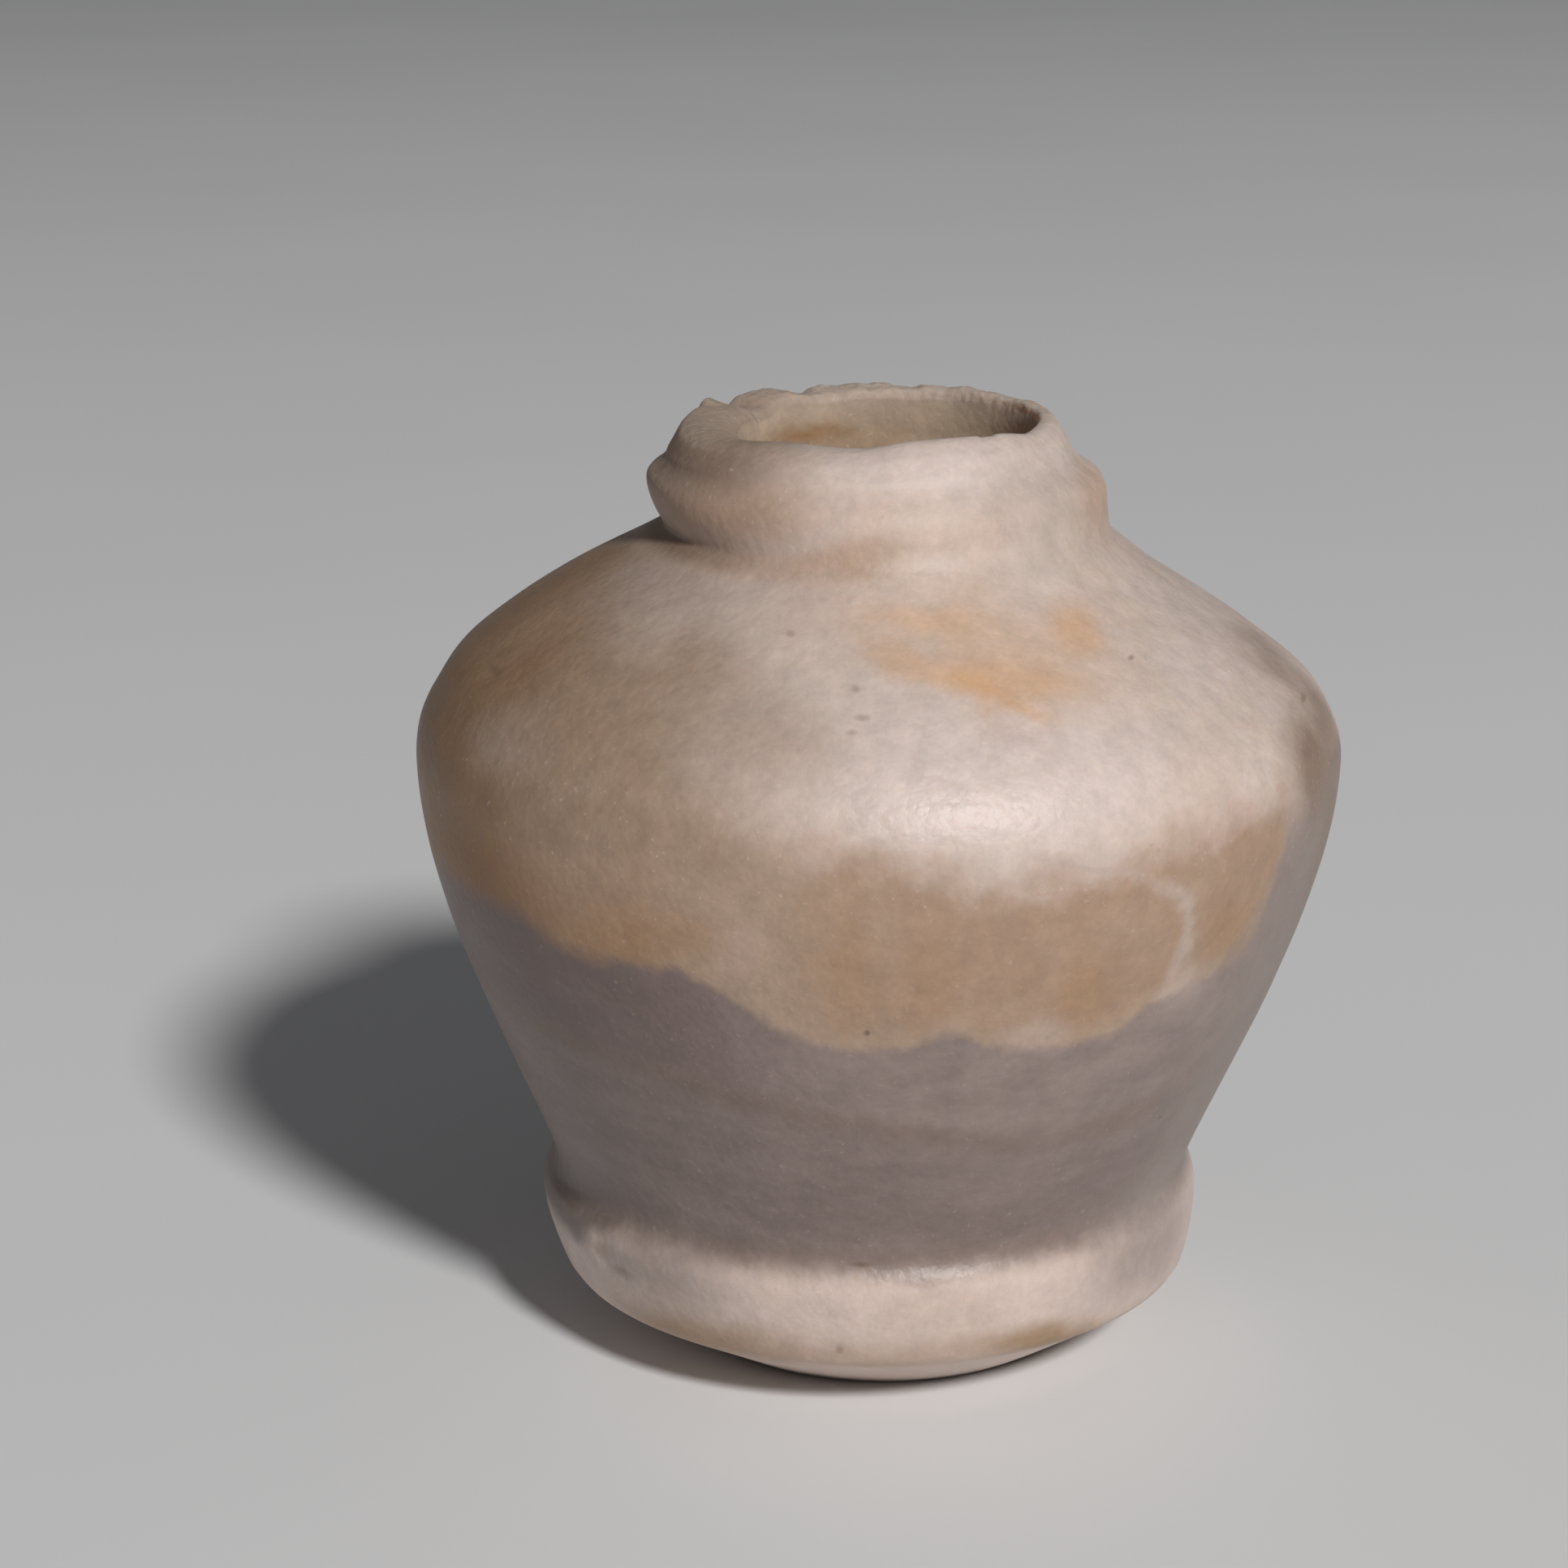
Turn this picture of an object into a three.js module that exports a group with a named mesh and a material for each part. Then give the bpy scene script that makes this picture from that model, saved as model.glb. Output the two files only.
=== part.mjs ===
// Kohl jar: a small squat jar carved from one piece of banded stone. It has a disc foot cut away
// underneath, a body widest above its middle, a thick hand-cut collar, and a short neck whose rim
// has broken off all round. A narrow drilled bore holds the powder.
// Millimetres, +Z up, the origin in the flat underside below the middle of the body, the better
// face towards -Y.
import * as THREE from "three";
import { mergeVertices } from "three/addons/utils/BufferGeometryUtils.js";

// Foot, from the ground up
const restRadius = 10; // the flat underside
const coneRadius = 15.5; // where the cut-away under edge turns up into the side
const coneHeight = 3.3;
const footRadius = 16.9; // the widest ring of the foot
const footSideHeight = 4.6; // cone to widest ring
const footTopHeight = 0.9; // widest ring to the crease under the body
const footCreaseDepth = 1.05; // how far that crease is cut in from the widest ring

// Body
const bodyRadius = 22.9; // at the girth
const lowerBodyHeight = 21.4; // foot crease to girth
const shoulderHeight = 11.1; // girth to the crease under the collar
const bodyOvality = 0.1; // the girth is this much wider across and narrower from front to back

// Bore: drilled a little to the right of the jar's own middle
const boreRadius = 7.1; // at the mouth
const boreSwell = 0.4; // the bore is this much wider under the shoulder
const boreTaper = 1; // and this much narrower at its floor
const boreFloorRound = 4.2; // the rounded end that the drill left
const boreOffset = 0.7;
const floorThickness = 10; // stone left under the bore

// Neck and collar, outwards from the bore. Bearings round the jar are in degrees: 0 is +X, the
// right, and 90 is the back
const lipWall = 1.9; // stone round the mouth where the rim broke
const neckFlare = 1.05; // the waist of the neck is this much wider than the broken lip
const neckHeight = 1.95; // waist to broken lip
const collarSwell = 1.27; // the collar stands this much proud of the waist
const collarTopHeight = 1.65; // widest ring of the collar to the waist
const collarUnderHeight = 1.95; // crease to the widest ring
const collarUndercutLeft = 0.9; // the crease is cut in this far on the left
const collarUndercutRight = -0.25; // and on the right the collar runs out into the shoulder
const undercutFade = 2; // how quickly the undercut dies away from the left, 1 being evenly
const collarTilt = 0.2; // the widest ring rises by this on the left and sinks on the right
const creaseTilt = 0.3; // and the crease by this
const collarWear = { at: 272, halfWidth: 88 }; // the collar is worn down at the front
const collarWearFill = 0.22; // the waist above it is this much fuller there

// Broken lip
const frontWear = { at: 270, halfWidth: 120 }; // the lip is worn round at the front
const frontWearOuter = 0.62; // how far down at its outer edge
const frontWearMouth = 0.5; // and at the mouth
const frontWearCrown = 0.43; // how proud the worn lip stands between the two
const leftFacet = { at: 180, halfWidth: 55 }; // the wide broken face on the left
const leftFacetOuter = 0.1; // how far down at its outer edge
const leftFacetMouth = 0.35; // and at the mouth
const spallDepth = 0.22; // hollows across the broken face
const rippleHeight = 0.04;
const ripples = 5; // waves round the lip
const flatShare = 0.45; // the share of a chip's half width that is at its full depth
const chipFade = 3; // how quickly a chip changes from the outer edge towards the mouth

// Chips out of the lip, and where the depth is below zero, points left standing. The depth is at
// the outer edge, and mouth is the share of it that is left at the mouth
const lipChips = [
  { at: 146, halfWidth: 8.5, depth: 0.58, mouth: 0.8 },
  { at: 155.5, halfWidth: 2.8, depth: -0.24, mouth: 0 },
  { at: 129, halfWidth: 7.5, depth: -0.12, mouth: 0.6 },
  { at: 116, halfWidth: 6, depth: 0.3, mouth: 0.3 },
  { at: 101, halfWidth: 8, depth: -0.07, mouth: 0.6 },
  { at: 79, halfWidth: 6, depth: 0.14, mouth: 0.6 },
  { at: 50, halfWidth: 14, depth: -0.12, mouth: 1 },
  { at: 286, halfWidth: 11, depth: -0.2, mouth: 1 },
  { at: 309, halfWidth: 5, depth: 0.12, mouth: 1 },
];

// How full each stretch of the outline is: handle lengths as shares of that stretch's own size
const coneRoundFull = { out: 0.18, rise: 0.25 };
const footTopFull = { rise: 0.45, in: 0.4 };
const lowerBodyFull = { out: 0.34, leave: 0.28, arrive: 0.31 };
const shoulderFull = { leave: 0.4, in: 0.53, arrive: 0.37 };
const collarUnderFull = 0.3;
const collarTopFull = { leave: 0.72, in: 0.39, arrive: 0.5 };
const collarTopWorn = { leave: 0.4, in: 0.3, arrive: 0.35 }; // the same where it is worn down
const neckFull = { leave: 0.02, in: 0.16, arrive: 0.3 };
const boreWallFull = 0.33;
const boreFloorFull = 0.55;

const meridians = 72; // steps round the jar
const neckSteps = 4;
const breakSteps = 4; // across the broken face
const boreWallSteps = 8;
const boreFloorSteps = 5;

// Levels and radii that follow from the sizes above
const footRingLevel = coneHeight + footSideHeight;
const footCreaseLevel = footRingLevel + footTopHeight;
const footCreaseRadius = footRadius - footCreaseDepth;
const girthLevel = footCreaseLevel + lowerBodyHeight;
const collarCreaseLevel = girthLevel + shoulderHeight;
const collarRingLevel = collarCreaseLevel + collarUnderHeight;
const waistLevel = collarRingLevel + collarTopHeight;
const lipLevel = waistLevel + neckHeight;
const lipRadius = boreRadius + lipWall;
const waistRadius = lipRadius + neckFlare;
const collarRadius = waistRadius + collarSwell;

// The jar was shaped by eye, so its middle wanders to the left (-) and right (+) as it rises
const middleDrift = [
  { level: 0, x: 0.4 },
  { level: coneHeight, x: 0 },
  { level: footRingLevel, x: -0.3 },
  { level: footCreaseLevel + 0.06 * lowerBodyHeight, x: -0.08 },
  { level: footCreaseLevel + 0.5 * lowerBodyHeight, x: 0.06 },
  { level: girthLevel, x: 0.18 },
  { level: girthLevel + 0.27 * shoulderHeight, x: 0.05 },
  { level: girthLevel + 0.5 * shoulderHeight, x: -0.36 },
  { level: girthLevel + 0.75 * shoulderHeight, x: -0.45 },
  { level: collarCreaseLevel, x: 0.1 },
  { level: collarRingLevel, x: 0.15 },
  { level: waistLevel, x: -0.2 },
  { level: lipLevel, x: -0.23 },
];

function driftAt(level) {
  const above = middleDrift.findIndex((mark) => mark.level > level);
  if (above < 1) {
    return above === 0 ? middleDrift[0].x : middleDrift.at(-1).x;
  }
  const low = middleDrift[above - 1];
  const high = middleDrift[above];
  const share = THREE.MathUtils.smoothstep(level, low.level, high.level);
  return THREE.MathUtils.lerp(low.x, high.x, share);
}

// 1 across the middle of a place on the lip, falling smoothly to 0 at its half width to either side
function nearPlace(azimuth, place) {
  const degrees = THREE.MathUtils.radToDeg(azimuth);
  const apart = Math.abs(THREE.MathUtils.euclideanModulo(degrees - place.at + 180, 360) - 180);
  return 1 - THREE.MathUtils.smoothstep(apart, flatShare * place.halfWidth, place.halfWidth);
}

// Even shares from just above 0 up to 1
function shares(steps) {
  return Array.from({ length: steps }, (_, step) => (step + 1) / steps);
}

function stretch(start, startHandle, endHandle, end) {
  const corners = [start, startHandle, endHandle, end];
  return new THREE.CubicBezierCurve(...corners.map((corner) => new THREE.Vector2(...corner)));
}

// The outer face below the neck at one bearing, as [curve, number of steps]
function outerStretches(azimuth) {
  const right = Math.cos(azimuth);
  const leftShare = (1 - right) / 2;
  const girth = bodyRadius + bodyOvality * Math.cos(2 * azimuth);
  const undercutShare = leftShare ** undercutFade;
  const undercut = THREE.MathUtils.lerp(collarUndercutRight, collarUndercutLeft, undercutShare);
  const creaseRadius = collarRadius - undercut;
  const creaseLevel = collarCreaseLevel - creaseTilt * right;
  const ringLevel = collarRingLevel - collarTilt * right;
  const coneReach = coneRadius - restRadius;
  const bodyReach = girth - footCreaseRadius;
  const bodyLeaveLevel = footCreaseLevel + lowerBodyFull.leave * lowerBodyHeight;
  const shoulderReach = girth - collarRadius;
  const shoulderRise = creaseLevel - girthLevel;
  const shoulderArriveLevel = creaseLevel - shoulderFull.arrive * shoulderRise;
  const topRise = waistLevel - ringLevel;
  const topWorn = nearPlace(azimuth, collarWear);
  const wornWaist = waistRadius + collarWearFill * topWorn;
  const topLeave = THREE.MathUtils.lerp(collarTopFull.leave, collarTopWorn.leave, topWorn);
  const topIn = THREE.MathUtils.lerp(collarTopFull.in, collarTopWorn.in, topWorn);
  const topArrive = THREE.MathUtils.lerp(collarTopFull.arrive, collarTopWorn.arrive, topWorn);
  return [
    [
      stretch(
        [coneRadius, coneHeight],
        [coneRadius + coneRoundFull.out * coneReach, coneHeight + coneRoundFull.out * coneHeight],
        [footRadius, footRingLevel - coneRoundFull.rise * footSideHeight],
        [footRadius, footRingLevel],
      ),
      4,
    ],
    [
      stretch(
        [footRadius, footRingLevel],
        [footRadius, footRingLevel + footTopFull.rise * footTopHeight],
        [footCreaseRadius + footTopFull.in * footCreaseDepth, footCreaseLevel],
        [footCreaseRadius, footCreaseLevel],
      ),
      3,
    ],
    [
      stretch(
        [footCreaseRadius, footCreaseLevel],
        [footCreaseRadius + lowerBodyFull.out * bodyReach, bodyLeaveLevel],
        [girth, girthLevel - lowerBodyFull.arrive * lowerBodyHeight],
        [girth, girthLevel],
      ),
      8,
    ],
    [
      stretch(
        [girth, girthLevel],
        [girth, girthLevel + shoulderFull.leave * shoulderRise],
        [collarRadius + shoulderFull.in * shoulderReach, shoulderArriveLevel],
        [creaseRadius, creaseLevel],
      ),
      9,
    ],
    [
      stretch(
        [creaseRadius, creaseLevel],
        [creaseRadius, creaseLevel],
        [collarRadius, ringLevel - collarUnderFull * collarUnderHeight],
        [collarRadius, ringLevel],
      ),
      3,
    ],
    [
      stretch(
        [collarRadius, ringLevel],
        [collarRadius, ringLevel + topLeave * topRise],
        [wornWaist + topIn * (collarRadius - wornWaist), waistLevel - topArrive * topRise],
        [wornWaist, waistLevel],
      ),
      4,
    ],
  ];
}

// Height of the break against lipLevel, at one bearing and share of the way in to the mouth
function breakRise(azimuth, share) {
  const worn = nearPlace(azimuth, frontWear);
  const faceted = nearPlace(azimuth, leftFacet);
  const inward = 1 - (1 - share) ** chipFade;
  const crown = frontWearCrown * Math.sin(Math.PI * share);
  let rise = rippleHeight * Math.sin(ripples * azimuth + 1) + crown * worn;
  rise -= THREE.MathUtils.lerp(frontWearOuter, frontWearMouth, share) * worn;
  rise -= THREE.MathUtils.lerp(leftFacetOuter, leftFacetMouth, share) * faceted;
  for (const chip of lipChips) {
    rise -= chip.depth * THREE.MathUtils.lerp(1, chip.mouth, inward) * nearPlace(azimuth, chip);
  }
  return rise;
}

// The neck, cut short or left standing by the break
function neckRows(azimuth) {
  const wornWaist = waistRadius + collarWearFill * nearPlace(azimuth, collarWear);
  const flare = wornWaist - lipRadius;
  const neck = stretch(
    [wornWaist, waistLevel],
    [wornWaist - neckFull.leave * flare, waistLevel + neckFull.leave * neckHeight],
    [lipRadius + neckFull.in * flare, lipLevel - neckFull.arrive * neckHeight],
    [lipRadius, lipLevel],
  );
  const standing = 1 + breakRise(azimuth, 0) / neckHeight;
  return shares(neckSteps).map((share) => neck.getPoint(share * standing));
}

// The broken face from the neck's outer edge in to the mouth of the bore
function breakRows(outerEdge, azimuth) {
  const settled = outerEdge.y - lipLevel - breakRise(azimuth, 0);
  return shares(breakSteps).map((share) => {
    const spall = spallDepth * share * (1 - share) * (1 + Math.sin(3 * azimuth + 4 * share));
    return {
      radius: THREE.MathUtils.lerp(outerEdge.x, boreRadius, share),
      level: lipLevel + breakRise(azimuth, share) + settled * (1 - share) - spall,
      middle: THREE.MathUtils.lerp(driftAt(outerEdge.y), boreOffset, share),
    };
  });
}

// The bore from its mouth down to the middle of its floor
function boreRows(mouthLevel) {
  const wallEnd = floorThickness + boreFloorRound;
  const handle = boreWallFull * (mouthLevel - wallEnd);
  const endRadius = boreRadius - boreTaper;
  const wall = stretch(
    [boreRadius, mouthLevel],
    [boreRadius + boreSwell, mouthLevel - handle],
    [boreRadius + boreSwell, wallEnd + handle],
    [endRadius, wallEnd],
  );
  const floor = stretch(
    [endRadius, wallEnd],
    [endRadius, wallEnd - boreFloorFull * boreFloorRound],
    [boreFloorFull * endRadius, floorThickness],
    [0, floorThickness],
  );
  return [...wall.getPoints(boreWallSteps).slice(1), ...floor.getPoints(boreFloorSteps).slice(1)];
}

// One half section of the jar: underside, outer face, neck, broken face and bore
function sectionAt(azimuth) {
  const mouthLevel = lipLevel + breakRise(azimuth, 1);
  const under = [0, restRadius].map((radius) => new THREE.Vector2(radius, 0));
  const outer = [...under, new THREE.Vector2(coneRadius, coneHeight)];
  for (const [curve, steps] of outerStretches(azimuth)) {
    outer.push(...curve.getPoints(steps).slice(1));
  }
  outer.push(...neckRows(azimuth));
  return [
    ...outer.map((point) => ({ radius: point.x, level: point.y, middle: driftAt(point.y) })),
    ...breakRows(outer.at(-1), azimuth),
    ...boreRows(mouthLevel).map((point) => ({ radius: point.x, level: point.y, middle: boreOffset })),
  ];
}

// The jar as a lathe would turn it, each point then moved to where the hand-cut section has it
function carvedJar() {
  const turned = sectionAt(0).map((row) => new THREE.Vector2(row.radius, row.level));
  const geometry = new THREE.LatheGeometry(turned, meridians);
  for (let step = 0; step <= meridians; step += 1) {
    const azimuth = ((step % meridians) / meridians) * 2 * Math.PI;
    sectionAt(azimuth).forEach((row, index) => {
      const x = row.middle + row.radius * Math.cos(azimuth);
      const y = row.radius * Math.sin(azimuth);
      geometry.attributes.position.setXYZ(step * turned.length + index, x, y, row.level);
    });
  }
  geometry.deleteAttribute("normal");
  geometry.deleteAttribute("uv");
  const closed = mergeVertices(geometry);
  closed.computeVertexNormals();
  return closed;
}

const stone = new THREE.MeshStandardMaterial({ color: 0xcdbca9, roughness: 0.45, metalness: 0 });
const jar = new THREE.Mesh(carvedJar(), stone);
jar.name = "kohl_jar";

const model = new THREE.Group();
model.add(jar);

export default model;
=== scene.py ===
# Kohl jar: the looks of a small squat jar carved from one piece of banded stone. The stone is
# carved here with its fine relief, in place of the plain solid, and dressed with its beds, stains
# and wear, and with some painted shade, glow and highlights. Sizes are millimetres until the mesh
# is made.
import math

import bpy
import numpy as np
from mathutils import Euler, Matrix, Vector, noise


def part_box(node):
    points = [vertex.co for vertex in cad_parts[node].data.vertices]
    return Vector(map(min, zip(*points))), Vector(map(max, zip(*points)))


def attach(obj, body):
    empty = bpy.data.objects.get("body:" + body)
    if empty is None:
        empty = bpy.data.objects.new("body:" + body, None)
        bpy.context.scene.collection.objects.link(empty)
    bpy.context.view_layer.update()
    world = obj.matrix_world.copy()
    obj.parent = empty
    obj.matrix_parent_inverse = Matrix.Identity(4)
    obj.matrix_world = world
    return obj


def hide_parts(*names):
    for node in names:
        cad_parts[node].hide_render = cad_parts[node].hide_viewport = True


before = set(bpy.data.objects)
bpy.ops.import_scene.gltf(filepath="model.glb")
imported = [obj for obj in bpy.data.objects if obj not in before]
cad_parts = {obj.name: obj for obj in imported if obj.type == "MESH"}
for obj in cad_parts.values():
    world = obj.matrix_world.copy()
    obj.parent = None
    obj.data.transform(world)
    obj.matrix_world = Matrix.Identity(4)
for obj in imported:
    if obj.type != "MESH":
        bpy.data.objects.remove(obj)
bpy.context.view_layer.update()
jar_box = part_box("kohl_jar")

# Foot, from the ground up
REST_RADIUS = 10.0
CONE_RADIUS = 15.5
CONE_HEIGHT = 3.3
FOOT_RADIUS = 16.9
FOOT_SIDE_HEIGHT = 4.6
FOOT_TOP_HEIGHT = 0.9
FOOT_CREASE_DEPTH = 1.05

# Body
BODY_RADIUS = 22.9
LOWER_BODY_HEIGHT = 21.4
SHOULDER_HEIGHT = 11.1
BODY_OVALITY = 0.1

# Bore
BORE_RADIUS = 7.1
BORE_SWELL = 0.4
BORE_TAPER = 1.0
BORE_FLOOR_ROUND = 4.2
BORE_OFFSET = 0.7
FLOOR_THICKNESS = 10.0

# Neck and collar
LIP_WALL = 1.9
NECK_FLARE = 1.05
NECK_HEIGHT = 1.95
COLLAR_SWELL = 1.27
COLLAR_TOP_HEIGHT = 1.65
COLLAR_UNDER_HEIGHT = 1.95
COLLAR_UNDERCUT_LEFT = 0.9
COLLAR_UNDERCUT_RIGHT = -0.25
UNDERCUT_FADE = 2
COLLAR_TILT = 0.2
CREASE_TILT = 0.3
COLLAR_WEAR = (272, 88)  # places round the jar: bearing and half width in degrees, 0 on the right
COLLAR_WEAR_FILL = 0.22

# Broken lip
FRONT_WEAR = (270, 120)
FRONT_WEAR_OUTER = 0.62
FRONT_WEAR_MOUTH = 0.5
FRONT_WEAR_CROWN = 0.43
LEFT_FACET = (180, 55)
LEFT_FACET_OUTER = 0.1
LEFT_FACET_MOUTH = 0.45
SPALL_DEPTH = 0.22
SPALLS = 3
SPALL_SLANT = 4
RIPPLE_HEIGHT = 0.04
RIPPLES = 5
RIPPLE_TURN = 1
FLAT_SHARE = 0.45
CHIP_FADE = 3
LIP_CHIPS = (  # bearing, half width, depth at the outer edge, share of it left at the mouth
    (146, 8.5, 0.58, 0.4),
    (155.5, 3.2, -0.42, 0),
    (129, 7.5, -0.12, 0.6),
    (116, 6, 0.3, 0.3),
    (101, 8, -0.07, 0.6),
    (79, 6, 0.14, 0.6),
    (50, 14, -0.12, 1),
    (298, 36, -0.26, 1),
    (309, 5, 0.08, 1),
)

# How full each stretch of the outline is, as shares of its height or its reach
CONE_ROUND_OUT = 0.18
CONE_ROUND_RISE = 0.25
FOOT_TOP_RISE = 0.45
FOOT_TOP_IN = 0.4
LOWER_BODY_OUT = 0.34
LOWER_BODY_LEAVE = 0.28
LOWER_BODY_ARRIVE = 0.31
SHOULDER_LEAVE = 0.4
SHOULDER_IN = 0.53
SHOULDER_ARRIVE = 0.37
COLLAR_UNDER_ARRIVE = 0.3
COLLAR_TOP_LEAVE = (0.72, 0.4)  # unworn and worn
COLLAR_TOP_IN = (0.39, 0.3)
COLLAR_TOP_ARRIVE = (0.5, 0.35)
NECK_LEAVE = 0.02
NECK_IN = 0.16
NECK_ARRIVE = 0.3
BORE_WALL_FULL = 0.33
BORE_FLOOR_FULL = 0.55

# Steps of the fine mesh
BEARINGS = 384
UNDER_STEPS = 6
CONE_STEPS = 10
KNUCKLE_STEPS = 14
FOOT_TOP_STEPS = 10
LOWER_BODY_STEPS = 52
SHOULDER_STEPS = 40
COLLAR_UNDER_STEPS = 12
COLLAR_TOP_STEPS = 16
NECK_STEPS = 14
BREAK_STEPS = 16
BORE_WALL_STEPS = 36
BORE_FLOOR_STEPS = 12
MOUTH_CLOSENESS = 1.6  # the rows of the bore lie closer together towards the mouth

# Levels and radii that follow
FOOT_RING_LEVEL = CONE_HEIGHT + FOOT_SIDE_HEIGHT
FOOT_CREASE_LEVEL = FOOT_RING_LEVEL + FOOT_TOP_HEIGHT
FOOT_CREASE_RADIUS = FOOT_RADIUS - FOOT_CREASE_DEPTH
GIRTH_LEVEL = FOOT_CREASE_LEVEL + LOWER_BODY_HEIGHT
COLLAR_CREASE_LEVEL = GIRTH_LEVEL + SHOULDER_HEIGHT
COLLAR_RING_LEVEL = COLLAR_CREASE_LEVEL + COLLAR_UNDER_HEIGHT
WAIST_LEVEL = COLLAR_RING_LEVEL + COLLAR_TOP_HEIGHT
LIP_LEVEL = WAIST_LEVEL + NECK_HEIGHT
LIP_RADIUS = BORE_RADIUS + LIP_WALL
WAIST_RADIUS = LIP_RADIUS + NECK_FLARE
COLLAR_RADIUS = WAIST_RADIUS + COLLAR_SWELL

# The jar's middle wanders left and right as it rises: (level, x). Levels within the body are set
# as shares of the stretch that they lie in.
MIDDLE_DRIFT = (
    (0, 0.4),
    (CONE_HEIGHT, 0),
    (FOOT_RING_LEVEL, -0.3),
    (FOOT_CREASE_LEVEL + 0.06 * LOWER_BODY_HEIGHT, -0.08),
    (FOOT_CREASE_LEVEL + 0.5 * LOWER_BODY_HEIGHT, 0.06),
    (GIRTH_LEVEL, 0.18),
    (GIRTH_LEVEL + 0.27 * SHOULDER_HEIGHT, 0.05),
    (GIRTH_LEVEL + 0.5 * SHOULDER_HEIGHT, -0.36),
    (GIRTH_LEVEL + 0.75 * SHOULDER_HEIGHT, -0.45),
    (COLLAR_CREASE_LEVEL, 0.1),
    (COLLAR_RING_LEVEL, 0.15),
    (WAIST_LEVEL, -0.2),
    (LIP_LEVEL, -0.23),
)


def smooth_step(value, low, high):
    """0 up to low, 1 from high, and a smooth step between."""
    share = np.clip((value - low) / (high - low), 0, 1)
    return share * share * (3 - 2 * share)


def between(low, high, share):
    return low + (high - low) * share


def drift_at(level):
    """How far the jar's middle lies to the right at each level."""
    level = np.asarray(level, float)
    drift = np.full(level.shape, float(MIDDLE_DRIFT[0][1]))
    for (low, low_x), (high, high_x) in zip(MIDDLE_DRIFT, MIDDLE_DRIFT[1:]):
        drift += (high_x - low_x) * smooth_step(level, low, high)
    return drift


def near_place(azimuth, bearing, half_width):
    """1 across the middle of a place round the jar, falling smoothly to 0 at its half width."""
    apart = np.abs((np.degrees(azimuth) - bearing + 180) % 360 - 180)
    return 1 - smooth_step(apart, FLAT_SHARE * half_width, half_width)


def corner_weights(t):
    """How much each corner of a cubic stretch counts, at the share t of the way along it."""
    return (1 - t) ** 3, 3 * (1 - t) ** 2 * t, 3 * (1 - t) * t**2, t**3


def stretch(corners, shares):
    """Points along a cubic stretch of the outline. Each corner is (radius, level) at every bearing."""
    weights = corner_weights(shares[None, :])
    radius, level = (
        sum(w * np.reshape(corner[axis], (-1, 1)) for w, corner in zip(weights, corners))
        for axis in (0, 1)
    )
    return radius, level


def even_shares(steps):
    """The share of the way at the end of each step."""
    return np.arange(1, steps + 1) / steps


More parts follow.
